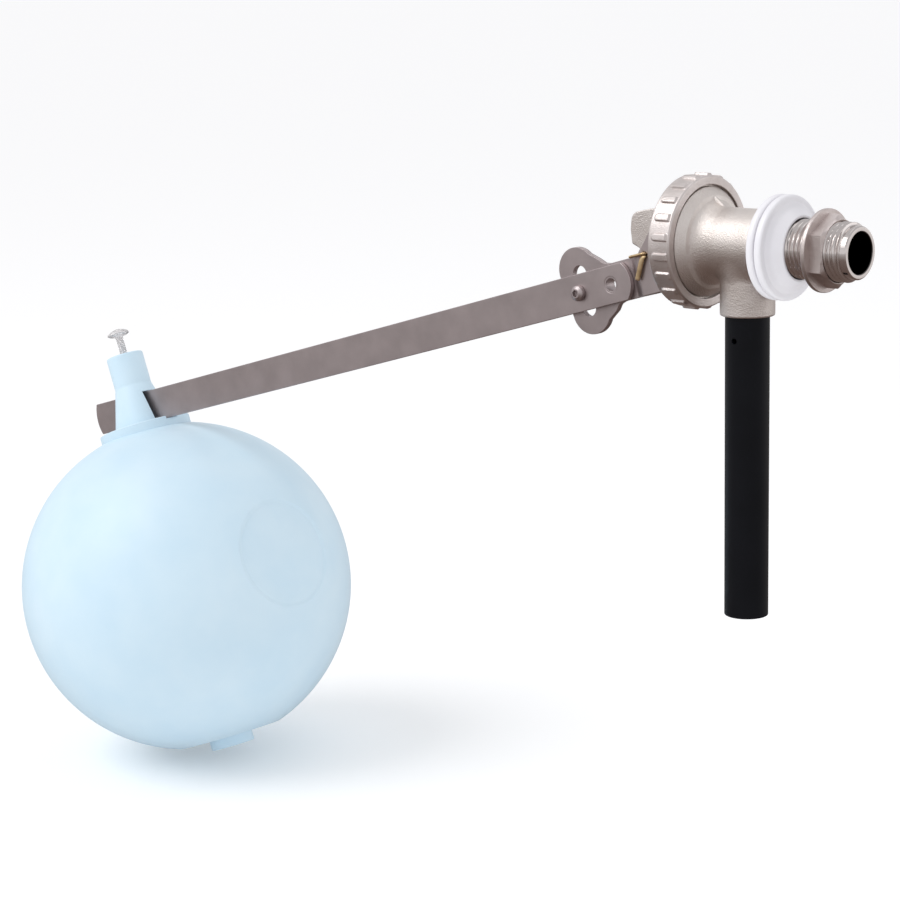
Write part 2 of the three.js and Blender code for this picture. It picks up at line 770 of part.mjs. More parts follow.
function armOutline() {
  const half = armWidth / 2;
  const nearAngle = Math.asin(half / armNearEnd);
  const farAngle = Math.asin(half / armEndRadius);
  const farCentre = new THREE.Vector2(armEndRadius - armFarEnd, 0);
  const hole = new THREE.Vector2(0, 0);
  const outline = new THREE.Shape([
    ...arcPoints(hole, armNearEnd, -nearAngle, nearAngle, 8),
    ...arcPoints(farCentre, armEndRadius, Math.PI - farAngle, Math.PI + farAngle, 6),
  ]);
  outline.holes.push(roundHole(hole, armHoleDiameter / 2 + seatGap));
  outline.holes.push(roundHole(new THREE.Vector2(-clampPlace, 0), clampDiameter / 2 + seatGap));
  return outline;
}

function floatArm() {
  const front = armPlane - armThickness / 2;
  return plate(armOutline(), front, front + armThickness);
}

function clampScrew() {
  const seat = armPlane - armThickness / 2 - seatGap;
  const top = seat - clampHeadHeight;
  const end = rearFace + clampWasherThickness + clampNutThickness + clampTail;
  const body = turnedAlongY(
    [
      [top, 0],
      [top, clampHead / 2 - clampHeadRound[0]],
      [top + clampHeadRound[1], clampHead / 2 - edge],
      [top + clampHeadSide, clampHead / 2],
      [seat, clampHead / 2],
      [seat, clampDiameter / 2],
      [end - edge, clampDiameter / 2],
      [end, clampDiameter / 2 - edge],
      [end, 0],
    ],
    0,
    0,
    24,
  );
  const socket = hexPrism(clampSocket, top - through, top + clampSocketDepth);
  return body.subtract(socket).translate([-clampPlace, 0, 0]);
}

function clampWasherShape() {
  const low = rearFace + seatGap;
  const profile = tube(low, low + clampWasherThickness, clampDiameter / 2 + seatGap, clampWasher / 2);
  return turnedAlongY(profile, -clampPlace, 0, 24);
}

function clampNut() {
  const low = rearFace + clampWasherThickness + 2 * seatGap;
  const high = low + clampNutThickness;
  const bore = turnedAlongY(rod(low - through, high + through, clampDiameter / 2 + seatGap), 0, 0);
  const nut = hexPrism(clampNutAcrossFlats, low, high).subtract(bore);
  return nut.translate([-clampPlace, 0, 0]);
}

// ---- float, in its own frame: origin on the bar's middle, the ball hanging below ----

function ballArc(radius, startHeight, endHeight, steps) {
  const start = Math.asin(startHeight / radius);
  const end = Math.asin(endHeight / radius);
  return Array.from({ length: steps + 1 }, (_, i) => {
    const angle = start + ((end - start) * i) / steps;
    return [radius * Math.sin(angle), radius * Math.cos(angle)];
  });
}

function floatBall() {
  const flat = -Math.sqrt(floatRadius ** 2 - floatFlatRadius ** 2);
  const neckFoot = Math.sqrt(floatRadius ** 2 - (collarDiameter / 2 + neckOffset) ** 2);
  const inner = floatRadius - floatWall;
  const bore = plugDiameter / 2 + slideGap;
  const outside = turnedAlongZ(
    [
      [flat - floatBossHeight, 0],
      [flat - floatBossHeight, floatBoss / 2],
      [flat, floatBoss / 2],
      ...ballArc(floatRadius, flat, floatRadius, 22),
    ],
    36,
  );
  const neck = turnedAlongZ(
    [
      [neckFoot, 0],
      [neckFoot, collarDiameter / 2],
      [collarHeight, collarDiameter / 2],
      [collarHeight, postBase / 2],
      [postWaist, postDiameter / 2],
      [postHeight - postChamfer, postDiameter / 2],
      [postHeight, postDiameter / 2 - postChamfer],
      [postHeight, 0],
    ],
    36,
  );
  const innerFlat = flat + floatWall;
  const inside = turnedAlongZ([[innerFlat, 0], ...ballArc(inner, innerFlat, inner, 9)], 24);
  const plugHole = turnedAlongZ(rod(flat - floatBossHeight - through, innerFlat + through, bore), 24);
  const screwHole = turnedAlongZ(rod(floatDrop, postHeight + through, thumbDiameter / 2 + slideGap), 16);
  const hollowNeck = neck.subtract(screwHole).translate([neckOffset, 0, 0]);
  const slot = new THREE.BoxGeometry(slotLength, slotWidth, armWidth + 2 * looseGap);
  slot.rotateY(floatLean).translate(0, 0, floatDrop);
  return outside
    .add(hollowNeck)
    .subtract(inside)
    .subtract(plugHole)
    .subtract(solid(slot))
    .translate([0, 0, -floatDrop]);
}

function floatPlug() {
  const flat = -Math.sqrt(floatRadius ** 2 - floatFlatRadius ** 2);
  const low = flat - floatBossHeight + plugInset;
  return turnedAlongZ(rod(low, low + plugLength, plugDiameter / 2), 24).translate([0, 0, -floatDrop]);
}

function thumbScrew() {
  const tip = armWidth / 2 / Math.cos(floatLean) + looseGap;
  const underHead = postHeight - floatDrop + thumbRise;
  return turnedAlongZ(
    [
      [tip, 0],
      [tip, thumbDiameter / 2],
      [underHead - thumbNeck, thumbDiameter / 2],
      [underHead, thumbHead / 2 - thumbEdges[0]],
      [underHead + thumbSide, thumbHead / 2],
      [underHead + thumbHeadHeight / 2, thumbHead / 2 - thumbEdges[1]],
      [underHead + thumbHeadHeight - thumbNeck, thumbHead / 2 - thumbEdges[2]],
      [underHead + thumbHeadHeight, 0],
    ],
    24,
  ).translate([neckOffset, 0, 0]);
}

// ---- wall washers, lock nut and tube ----

// A flat washer whose rim is bevelled on both sides, with a bore that clears the thread.
function washerShape(place, cone) {
  const low = place + washerEdge / 2;
  const high = place + washerThickness - washerEdge / 2;
  const rim = washerDiameter / 2;
  const front = place + washerThickness;
  return turnedAlongX([
    [place, washerBore],
    [place, rim - washerEdge],
    [low, rim],
    [high, rim],
    [front, rim - washerEdge],
    [front + cone, washerHub / 2],
    [front + cone, washerBore],
    [place, washerBore],
  ]);
}

function lockNut() {
  const flange = turnedAlongX(rod(nutPlace, nutPlace + nutFlangeThickness, nutFlangeDiameter / 2));
  const high = nutPlace + nutThickness;
  const hex = hexPrism(nutAcrossFlats, nutPlace + nutFlangeThickness / 2, high).rotate([0, 0, -90]);
  const trim = turnedAlongX([
    [nutPlace, 0],
    [nutPlace, nutFlangeDiameter],
    [high - nutFlangeDiameter + nutAcrossFlats / 2, nutFlangeDiameter],
    [high, nutAcrossFlats / 2],
    [high, 0],
  ]);
  const bore = turnedAlongX(rod(nutPlace - through, high + through, threadRadius + slideGap));
  return flange.add(hex.intersect(trim)).subtract(bore);
}

function outletTube() {
  const body = turnedAlongZ(tube(tubeBottom, tubeTop, tubeBore / 2, tubeDiameter / 2));
  const hole = turnedAlongY(rod(-tubeDiameter, 0, airHoleDiameter / 2), 0, airHolePlace, 12);
  return body.subtract(hole).translate([outletPlace, 0, 0]);
}

// ---- assembly ----

const valve = new THREE.Group();
valve.add(
  piece("valve_body", valveBody(), "nickel"),
  piece("seat_nozzle", seatNozzle(), "brass"),
  piece("nozzle_o_ring", nozzleSeal(), "rubber"),
  piece("cover", cover(), "nickel"),
  piece("cover_gasket", coverGasket(), "rubber"),
  piece("ring_nut", ringNut(), "nickel"),
  piece("piston", piston(), "acetal"),
  piece("piston_o_ring", pistonRing(), "rubber"),
  piece("seat_disc", seatDisc(), "rubber"),
  piece("seat_screw", seatScrew(), "brass"),
  piece("inner_washer", washerShape(-wallGap / 2 - washerThickness, 0), "whitePlastic"),
  piece("outer_washer", washerShape(wallGap / 2, washerCone), "whitePlastic"),
  piece("lock_nut", lockNut(), "nickel"),
  piece("outlet_tube", outletTube(), "blackPlastic"),
);

const pin = new THREE.Group();
pin.position.set(pivotPlace.x, 0, pivotPlace.y);
pin.add(piece("split_pin", splitPin(), "brass"));
valve.add(pin);

const lever = new THREE.Group();
lever.position.set(pivotPlace.x, 0, pivotPlace.y);
lever.rotation.y = -armDip;
lever.add(
  piece("lever_front_sheet", leverSheet(frontSheetPlane, -sheetInner - sheetThickness), "steel"),
  piece("lever_rear_sheet", leverSheet(rearSheetPlane, sheetInner), "steel"),
  piece("push_pin", pushPin(), "steel"),
  piece("arm_rivet", armRivet(), "steel"),
);
valve.add(lever);

const arm = new THREE.Group();
arm.position.set(armHole.x, 0, armHole.y);
arm.add(
  piece("float_arm", floatArm(), "steel"),
  piece("clamp_screw", clampScrew(), "steel"),
  piece("clamp_washer", clampWasherShape(), "steel"),
  piece("clamp_nut", clampNut(), "steel"),
);
lever.add(arm);

const float = new THREE.Group();
float.position.set(-floatPlace, armPlane, 0);
float.rotation.y = -floatLean;
float.add(
  piece("float_ball", floatBall(), "floatPlastic"),
  piece("float_plug", floatPlug(), "floatPlastic"),
  piece("thumb_screw", thumbScrew(), "clearPlastic"),
);
arm.add(float);

export default valve;
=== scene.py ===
"""The looks of a water tank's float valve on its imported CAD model.

Cast nickel body with its ring nut and cover, a cranked steel lever on a split pin, the arm's
quadrant, the flat steel arm, the ball float with its neck and thumb screw, the wall washers,
the lock nut and the outlet tube. Lengths are metres in the CAD's own frame: the inlet lies
along +X, +Z is up, and the origin is in the middle of the tank wall's place.
"""

import json
import math

import bmesh
import bpy
import numpy as np
from mathutils import Matrix, Vector


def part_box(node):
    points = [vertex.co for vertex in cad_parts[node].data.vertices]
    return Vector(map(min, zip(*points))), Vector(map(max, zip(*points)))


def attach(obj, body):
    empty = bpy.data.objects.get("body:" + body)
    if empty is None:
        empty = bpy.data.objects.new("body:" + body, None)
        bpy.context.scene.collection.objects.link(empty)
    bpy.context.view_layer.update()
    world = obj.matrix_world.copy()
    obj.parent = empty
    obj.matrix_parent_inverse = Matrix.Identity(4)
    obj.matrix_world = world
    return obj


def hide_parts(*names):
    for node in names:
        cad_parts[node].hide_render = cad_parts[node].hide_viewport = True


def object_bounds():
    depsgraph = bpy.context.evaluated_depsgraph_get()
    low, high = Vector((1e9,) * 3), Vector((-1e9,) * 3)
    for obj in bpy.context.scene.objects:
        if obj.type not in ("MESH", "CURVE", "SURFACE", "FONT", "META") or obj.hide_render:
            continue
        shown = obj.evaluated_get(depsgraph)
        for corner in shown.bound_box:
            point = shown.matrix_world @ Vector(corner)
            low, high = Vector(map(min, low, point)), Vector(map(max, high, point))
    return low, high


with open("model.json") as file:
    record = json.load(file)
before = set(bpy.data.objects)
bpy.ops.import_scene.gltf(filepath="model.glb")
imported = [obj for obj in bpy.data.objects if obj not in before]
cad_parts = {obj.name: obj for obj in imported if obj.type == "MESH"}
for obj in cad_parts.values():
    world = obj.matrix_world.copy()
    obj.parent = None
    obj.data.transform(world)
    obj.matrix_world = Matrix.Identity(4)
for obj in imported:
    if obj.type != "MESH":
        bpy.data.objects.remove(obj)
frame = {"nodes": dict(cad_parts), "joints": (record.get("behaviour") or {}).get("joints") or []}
cad_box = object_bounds()

MM = 0.001
TURN = 2 * math.pi

# ---- places, from the CAD ----

joints = {joint["name"]: joint for joint in frame["joints"]}
pivot = np.array(joints["lever_swing"]["pos_m"])
arm_hole = np.array(joints["arm_angle"]["pos_m"])
arm_away = -np.array(joints["float_slide"]["axis"])  # from the valve towards the float
float_up = np.array(joints["thumb_screw_turn"]["axis"])
thumb_place = np.array(joints["thumb_screw_turn"]["pos_m"])


class Seat:
    """A local frame: an origin and three unit directions, given in the valve's frame."""

    def __init__(self, origin, x, z):
        x, z = np.asarray(x, float), np.asarray(z, float)
        self.origin = np.asarray(origin, float)
        self.axes = np.array([x, np.cross(z, x), z])

    def put(self, points):
        """Local points moved to the valve's frame: origin + x X + y Y + z Z."""
        return self.origin + np.asarray(points) @ self.axes

    def moved(self, x=0.0, y=0.0, z=0.0):
        """The same directions from an origin that lies x, y and z further along them."""
        return Seat(self.put([x, y, z]), self.axes[0], self.axes[2])


# ---- sizes that the boxes don't give ----

THREAD_RADIUS = 20.955 / 2 * MM
THREAD_PITCH = 1.814 * MM
THREAD_DEPTH = 0.9 * MM
THREAD_START = 8 * MM  # where the thread reaches its full depth
NOSE_LENGTH = 2.9 * MM  # the plain end in front of the inlet's thread
NOSE_RADIUS = 9.3 * MM
NOSE_CHAMFER = 0.5 * MM
INLET_BORE = 7.3 * MM
SHOULDER = -3.3 * MM  # where the barrel ends and the threaded shank begins
BARREL_RADIUS = 12.9 * MM
BARREL_WALL = 2.4 * MM
BELL_RADIUS = 19.9 * MM
BELL_LENGTH = 10 * MM
BELL_STEP = 0.6 * MM  # how far the bell's face lies behind the ring nut's
RIM_SLOPE = 3 * MM  # the bell's sloped rim, along and inwards
GUSSET_ANGLE = TURN / 4
GUSSET_WIDTH = 0.5 * MM
GUSSET_SLOPE = 0.8  # in for each metre along
GUSSET_HEIGHT = 1.6 * MM
RING_OPENING = 20.57 * MM  # the radius of the hole in the ring nut's lip
RING_LIP = 1.6 * MM
RIB_COUNT = 21
RIB_HEIGHT = 0.8 * MM
RIB_HALF_WIDTH = 1.45 * MM
RIB_BACK = -40.2 * MM
RIB_FRONT = -33.3 * MM
BOSS_RADIUS = 9.85 * MM
FLOAT_RADIUS = 75 * MM
NECK_OFFSET = 1.6 * MM  # from the ball's middle line to the neck's
SHEET = 1.2 * MM
COVER_BACK = -42.8 * MM
COVER_FRONT = -37.2 * MM
PIN_HOLE = 1.3 * MM
ARM_HOLE = 3.1 * MM
CLAMP_HOLE = 2.1 * MM
FLOAT_DROP = 84.2 * MM  # from the arm's middle to the ball's

INLET = Seat((0, 0, 0), (1, 0, 0), (0, 0, 1))
arm_up = np.array([arm_away[2], 0.0, -arm_away[0]])
LEVER = Seat(pivot, -arm_away, arm_up)
ARM = Seat((arm_hole[0], 0, arm_hole[2]), -arm_away, arm_up)
float_x = np.array([float_up[2], 0.0, -float_up[0]])
FLOAT = Seat(thumb_place - NECK_OFFSET * float_x, float_x, float_up)
FLOAT_SLOT = Seat(FLOAT.origin, -arm_away, arm_up)
BALL = FLOAT.moved(z=-FLOAT_DROP)


def corners_of(node):
    """A CAD node's lowest and highest corner as arrays."""
    return tuple(np.array(corner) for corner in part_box(node))


body_low, body_high = corners_of("valve_body")
ring_low, ring_high = corners_of("ring_nut")
cover_low, cover_high = corners_of("cover")
tube_low, tube_high = corners_of("outlet_tube")
OUTLET = Seat(((tube_low[0] + tube_high[0]) / 2, 0, 0), (1, 0, 0), (0, 0, 1))

# ---- surfaces ----


def arc(centre, radius, start, end, steps):
    """Points on a circle: centre + radius (cos t, sin t), t running from start to end."""
    t = np.linspace(start, end, steps + 1)
    return np.stack([centre[0] + radius * np.cos(t), centre[1] + radius * np.sin(t)], 1)


def round_hole(centre, radius, steps):
    """A closed circle of so many points."""
    return arc(centre, radius, 0, TURN, steps)[:-1]


def quadratic(start, middle, end, s):
    """The curve (1 - s)^2 start + 2 s (1 - s) middle + s^2 end."""
    return (1 - s) ** 2 * start + 2 * s * (1 - s) * middle + s**2 * end


def rounded(corners, closed=False, steps=4):
    """A line through corners [(u, v, fillet radius), ...] with each corner turned into an arc.

    Each arc is the quadratic curve that leaves one side and meets the next at the same
    distance from the corner, which is the tangent length, at most half of either side.
    """
    points = np.array([corner[:2] for corner in corners], float)
    radii = np.array([corner[2] if len(corner) > 2 else 0 for corner in corners], float)
    line = []
    for i, (here, radius) in enumerate(zip(points, radii)):
        before = points[i - 1]
        after = points[(i + 1) % len(points)]
        ends = not closed and i in (0, len(points) - 1)
        if radius == 0 or ends:
            line.append(here[None])
            continue
        back, on = before - here, after - here
        back_length, on_length = np.linalg.norm(back), np.linalg.norm(on)
        cosine = np.clip(back @ on / (back_length * on_length), -1, 1)
        tangent = radius / math.tan(max(math.acos(cosine), 1e-3) / 2)
        reach = min(tangent, 0.49 * back_length, 0.49 * on_length)
        t = np.linspace(0, 1, steps + 1)[:, None]
        first = here + back / back_length * reach
        last = here + on / on_length * reach
        line.append(quadratic(first, here, last, t))
    return np.concatenate(line)


def bare_shape(points, faces):
    """A bmesh with these points and faces."""
    mesh = bpy.data.meshes.new("draft")
    mesh.from_pydata(np.asarray(points).tolist(), [], np.asarray(faces).tolist())
    shape = bmesh.new()
    shape.from_mesh(mesh)
    bpy.data.meshes.remove(mesh)
    return shape


def piece_of(name, shape, seat=None, crease=32):
    """A mesh object from a bmesh: doubles merged, flat faces dropped, normals outwards."""
    bmesh.ops.remove_doubles(shape, verts=shape.verts, dist=2e-7)
    bmesh.ops.dissolve_degenerate(shape, edges=shape.edges, dist=1e-7)
    bmesh.ops.recalc_face_normals(shape, faces=shape.faces)
    mesh = bpy.data.meshes.new(name)
    shape.to_mesh(mesh)
    shape.free()
    if seat is not None:
        points = np.empty(len(mesh.vertices) * 3)
        mesh.vertices.foreach_get("co", points)
        mesh.vertices.foreach_set("co", seat.put(points.reshape(-1, 3)).ravel())
    mesh.shade_smooth()
    mesh.set_sharp_from_angle(angle=math.radians(crease))
    piece = bpy.data.objects.new(name, mesh)
    bpy.context.scene.collection.objects.link(piece)
    return piece


def grid_faces(rows, columns, wrap_rows=False, wrap_columns=True):
    """Quads between neighbours of a grid whose points are numbered row by row."""
    last_row = rows if wrap_rows else rows - 1
    last_column = columns if wrap_columns else columns - 1
    i, j = np.meshgrid(np.arange(last_row), np.arange(last_column), indexing="ij")
    after_i, after_j = (i + 1) % rows, (j + 1) % columns
    quads = [i * columns + j, after_i * columns + j]
    quads += [after_i * columns + after_j, i * columns + after_j]
    return np.stack([quad.ravel() for quad in quads], 1)


def turned(name, profile, seat, columns=96, closed=False, axis="x", relief=None, crease=32):
    """A lathe surface: point = along the axis by a, and out by r in the direction t.

    profile is [(a, r), ...], and columns is how many directions there are, or the directions
    themselves. relief(a, r, t) may change r over the grid, and with closed the profile's
    last point joins its first.
    """
    angles = columns if np.ndim(columns) else np.arange(columns) * TURN / columns
    along, t = np.meshgrid(profile[:, 0], angles, indexing="ij")
    radius = np.broadcast_to(profile[:, 1:2], along.shape).copy()
    if relief is not None:
        radius = relief(along, radius, t)
    across, side = radius * np.cos(t), radius * np.sin(t)
    order = {"x": (along, across, side), "y": (side, along, across), "z": (across, side, along)}
    points = np.stack(order[axis], 2).reshape(-1, 3)
    faces = grid_faces(len(profile), len(angles), wrap_rows=closed)
    return piece_of(name, bare_shape(points, faces), seat, crease)


def resampled(profile, step):
    """The same line with points no more than step apart."""
    pieces = [profile[:1]]
    for start, end in zip(profile[:-1], profile[1:]):
        count = max(1, math.ceil(np.linalg.norm(end - start) / step))
        t = np.linspace(0, 1, count + 1)[1:, None]
        pieces.append(start + (end - start) * t)
    return np.concatenate(pieces)


def smoothstep(low, high, value):
    """0 below low and 1 above high, with 3 t^2 - 2 t^3 between."""
    t = np.clip((value - low) / (high - low), 0, 1)
    return t * t * (3 - 2 * t)


def inset(line, distance):
    """A closed line moved inwards along its normals by distance (to the left of its run)."""
    ahead = np.roll(line, -1, 0) - line
    ahead /= np.linalg.norm(ahead, axis=1)[:, None]
    normal = np.stack([-ahead[:, 1], ahead[:, 0]], 1)
    mean = normal + np.roll(normal, 1, 0)
    mean /= np.maximum((mean * mean).sum(1)[:, None] / 2, 0.5)
    return line + mean * distance


def oriented(line, anticlockwise):
    """The closed line, run the way that is asked for."""
    after = np.roll(line, -1, 0)
    area = (line[:, 0] * after[:, 1] - line[:, 1] * after[:, 0]).sum()
    return line if (area > 0) == anticlockwise else line[::-1]


def plate(name, outline, holes, low, high, seat, edge=0.2 * MM, folds=(), bend=None):
    """A flat plate in the seat's X and Z between two places on Y, with rounded edges.

    Each rim is its line carried through a quarter round, the straight side and another
    quarter round: inwards by edge (1 - sin t) at a height of edge (1 - cos t) from the face.
    bend(x) is added to Y, after cuts across the plate at the folds.
    """
    t = np.linspace(0, math.pi / 2, 4)
    depth, rise = edge * (1 - np.sin(t)), edge * (1 - np.cos(t))
    profile = [*zip(depth, low + rise), *zip(depth[::-1], high - rise[::-1])]
    lines = [oriented(outline, True), *(oriented(hole, False) for hole in holes)]
    points, faces, start = [], [], 0
    for line in lines:
        for inwards, place in profile:
            points.append(np.insert(inset(line, inwards), 1, place, axis=1))
        faces.append(start + grid_faces(len(profile), len(line)))
        start += len(profile) * len(line)
    shape = bare_shape(np.concatenate(points), np.concatenate(faces))
    middle = (low + high) / 2
    rims = [line for line in shape.edges if line.is_boundary]
    for side in (-1, 1):
        rim = [line for line in rims if (line.verts[0].co.y - middle) * side > 0]
        bmesh.ops.triangle_fill(shape, use_beauty=True, edges=rim)
    for fold in folds:
        whole = shape.verts[:] + shape.edges[:] + shape.faces[:]
        bmesh.ops.bisect_plane(shape, geom=whole, plane_co=(fold, 0, 0), plane_no=(1, 0, 0))
    if bend is not None:
        mesh = bpy.data.meshes.new("draft")
        shape.to_mesh(mesh)
        flat = np.empty(len(mesh.vertices) * 3)
        mesh.vertices.foreach_get("co", flat)
        flat = flat.reshape(-1, 3)
        flat[:, 1] += bend(flat[:, 0])
        mesh.vertices.foreach_set("co", flat.ravel())
        shape.clear()
        shape.from_mesh(mesh)
        bpy.data.meshes.remove(mesh)
    return piece_of(name, shape, seat, crease=40)


def spline(points, steps=10):
    """The Catmull-Rom curve through the points: four cubic weights on each point's neighbours."""
    points = np.asarray(points, float)
    before, after = 2 * points[:1] - points[1:2], 2 * points[-1:] - points[-2:-1]
    padded = np.concatenate([before, points, after])
    a, b, c, d = padded[:-3], padded[1:-2], padded[2:-1], padded[3:]
    t = (np.arange(steps) / steps)[None, :, None]
    a, b, c, d = (each[:, None] for each in (a, b, c, d))
    curve = b + t * (c - a) / 2 + t**2 * (2 * a - 5 * b + 4 * c - d) / 2
    curve = curve + t**3 * (3 * b - a - 3 * c + d) / 2
    return np.concatenate([curve.reshape(-1, 3), points[-1:]])


def wire(name, path, sides, width, thickness, seat, columns=20):
    """A flattened wire: ellipses square to the path, with their width along the sides.

    A ring is path + width cos t side + thickness sin t up, and both ends are blunt.
    """
    ahead = np.gradient(path, axis=0)
    ahead /= np.linalg.norm(ahead, axis=1)[:, None]
    side = sides - (sides * ahead).sum(1)[:, None] * ahead
    side = side / np.linalg.norm(side, axis=1)[:, None] * width
    up = np.cross(side, ahead) / width * thickness
    t = np.arange(columns) * TURN / columns
    around = np.cos(t)[None, :, None] * side[:, None] + np.sin(t)[None, :, None] * up[:, None]
    rings = path[:, None] + around
    blunt = np.linspace(0, math.pi / 2, 5)[1:]
    squeeze = np.cos(blunt)[:, None, None]
    out = 0.6 * thickness * np.sin(blunt)[:, None, None]
    start = path[0] - ahead[0] * out + (rings[0] - path[0]) * squeeze
    end = path[-1] + ahead[-1] * out + (rings[-1] - path[-1]) * squeeze
    points = np.concatenate([start[::-1], rings, end])
    faces = grid_faces(len(points), columns)
    return piece_of(name, bare_shape(points.reshape(-1, 3), faces), seat, crease=60)


def hexagon(across_flats, t, turn=0.0):
    """How far out a hexagon's side lies in direction t: half the flats / cos of the rest."""
    rest = np.mod(t + turn, TURN / 6) - TURN / 12
    return across_flats / 2 / np.cos(rest)


def cut(piece, cutter):
    """Takes the cutter's space out of a piece, and removes the cutter."""
    modifier = piece.modifiers.new("cut", "BOOLEAN")
    modifier.operation = "DIFFERENCE"
    modifier.solver = "EXACT"
    modifier.object = cutter
    graph = bpy.context.evaluated_depsgraph_get()
    mesh = bpy.data.meshes.new_from_object(piece.evaluated_get(graph))
    piece.modifiers.clear()
    piece.data = mesh
    mesh.shade_smooth()
    mesh.set_sharp_from_angle(angle=math.radians(32))
    bpy.data.objects.remove(cutter)
    return piece


def fit(piece, body, finish, slot, *stands_for):
    """Gives a piece its finish, the body it moves with and the CAD nodes it stands for."""
    piece.data.materials.clear()
    piece.data.materials.append(finish)
    flatness = piece.modifiers.new("flat faces stay flat", "WEIGHTED_NORMAL")
    flatness.keep_sharp = True
    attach(piece, body)
    if stands_for:
        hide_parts(*stands_for)
    return piece


# ---- finishes ----


class Field:
    """A number or a colour over a surface, as a shader node's output socket.

    Arithmetic on fields of numbers adds Math nodes. node() adds any other node.
    """

    def __init__(self, socket):
        self.socket = socket

    def node(self, kind, settings=None, inputs=None, output=0, stops=None):
        """Adds a node: its settings first, then the ramp's stops, then values or links."""
        tree = self.socket.id_data
        made = tree.nodes.new(kind)
        for name, value in (settings or {}).items():
            setattr(made, name, value)
        if stops:
            ramp = made.color_ramp.elements
            while len(ramp) < len(stops):
                ramp.new(0.5)
            for element, (place, value) in zip(ramp, stops):
                element.position = place
                element.color = (value, value, value, 1) if np.isscalar(value) else (*value, 1)
        for name, value in (inputs or {}).items():
            if isinstance(value, Field):
                tree.links.new(value.socket, made.inputs[name])
            else:
                made.inputs[name].default_value = value
        return Field(made.outputs[output])

    def math(self, operation, *values):
        inputs = dict(enumerate(values))
        return self.node("ShaderNodeMath", {"operation": operation}, inputs)

    def __add__(self, other):
        return self.math("ADD", self, other)

    __radd__ = __add__

    def __sub__(self, other):
        return self.math("SUBTRACT", self, other)

    def __rsub__(self, other):
        return self.math("SUBTRACT", other, self)

    def __mul__(self, other):
        return self.math("MULTIPLY", self, other)

    __rmul__ = __mul__

    def __pow__(self, other):
        return self.math("POWER", self, other)


def noise(place, scale, detail=3.0, stretch=(1, 1, 1), turn=0.0):
    """Noise from 0 to 1 with so many cells a metre, stretched along the valve's axes."""
    inputs = {"Vector": place, "Scale": stretch, "Rotation": (0, turn, 0)}
    moved = place.node("ShaderNodeMapping", {"vector_type": "POINT"}, inputs)
    inputs = {"Vector": moved, "Scale": scale, "Detail": detail}
    return place.node("ShaderNodeTexNoise", {}, inputs)


def ramp(value, low, high, under=0.0, over=1.0):
    """A value carried from low..high to under..over and held there outside."""
    inputs = {"Value": value, "From Min": low, "From Max": high, "To Min": under, "To Max": over}
    return value.node("ShaderNodeMapRange", {}, inputs)


def blended(share, low, high):
    """The mix of two colours, or colour fields, by a share from 0 to 1."""
    settings = {"data_type": "RGBA"}
    low = low if isinstance(low, Field) else (*low, 1)
    high = high if isinstance(high, Field) else (*high, 1)
    inputs = {0: share, 6: low, 7: high}
    return share.node("ShaderNodeMix", settings, inputs, output=2)


def bumped(height, depth, strength=1.0, under=None):
    """A bump's normal from a height of 0 to 1 that stands for so many metres."""
    inputs = {"Height": height, "Distance": depth, "Strength": strength}
    if under is not None:
        inputs["Normal"] = under
    return height.node("ShaderNodeBump", {}, inputs)


def new_finish(name, **constants):
    """A new material with its constants set: returns it, its place field and its shader."""
    material = bpy.data.materials.new(name)
    material.use_nodes = True
    tree = material.node_tree
    shader = next(node for node in tree.nodes if node.type == "BSDF_PRINCIPLED")
    for socket, value in constants.items():
        shader.inputs[socket.replace("_", " ")].default_value = value
    coordinates = tree.nodes.new("ShaderNodeTexCoord")
    return material, Field(coordinates.outputs["Object"]), shader


def wear_in(shader, **fields):
    """Links fields to the shader's sockets."""
    tree = shader.id_data
    for socket, field in fields.items():
        tree.links.new(field.socket, shader.inputs[socket.replace("_", " ")])


def axis_radius(place):
    """The distance from the inlet's axis, and the place along it."""
    parts = [place.node("ShaderNodeSeparateXYZ", {}, {0: place}, output=i) for i in range(3)]
    return (parts[1] * parts[1] + parts[2] * parts[2]) ** 0.5, parts[0]


def cast_nickel():
    """Blasted casting under nickel: sandy grain, slow waves and a faint warm stain.

    The turned shank past the shoulder is smooth and darker, and inside its bore the colour is
    painted nearly black as painted shade in the hole.
    """
    material, place, shader = new_finish("cast_nickel", Metallic=1.0)
    out, along = axis_radius(place)
    turned_part = ramp(along, SHOULDER, SHOULDER + 2 * MM)
    # painted shade: inside the inlet's bore the colour goes nearly black, standing for the shade
    # in the hole
    bore = ramp(out, INLET_BORE + 0.5 * MM, INLET_BORE + 0.1 * MM) * turned_part
    sand = ramp(noise(place, 2200, 2), 0.3, 0.7)
    grit = noise(place, 4500, 2)
    waves = noise(place, 170, 3)
    stain = ramp(noise(place, 75, 4), 0.35, 0.75)
    colour = blended(stain, (0.8, 0.745, 0.71), (0.68, 0.615, 0.575))
    colour = blended(turned_part, colour, (0.66, 0.61, 0.59))
    rough = 1 - turned_part
    grain = bumped(sand * 0.7 + grit * 0.3, 0.22 * MM, 0.55 * rough)
    wear_in(
        shader,
        # the nearly black colour is painted shade inside the bore
        Base_Color=blended(bore, colour, (0.03, 0.028, 0.026)),
        Roughness=0.11 + 0.27 * rough + 0.07 * noise(place, 420, 3),
        Normal=bumped(waves, 0.2 * MM, 0.45 * rough, grain),
    )
    return material


def sanded_nickel(name, dark, light):
    """The nuts' matt nickel: fine sandy faces with a faint stain."""
    material, place, shader = new_finish(name, Metallic=1.0)
    sand = ramp(noise(place, 2200, 2), 0.3, 0.7)
    stain = ramp(noise(place, 120, 4), 0.35, 0.75)
    wear_in(
        shader,
        Base_Color=blended(stain, light, dark),
        Roughness=0.34 + 0.12 * noise(place, 500, 3),
        Normal=bumped(sand, 0.12 * MM, 0.4, bumped(noise(place, 230, 2), 0.15 * MM, 0.5)),
    )
    return material


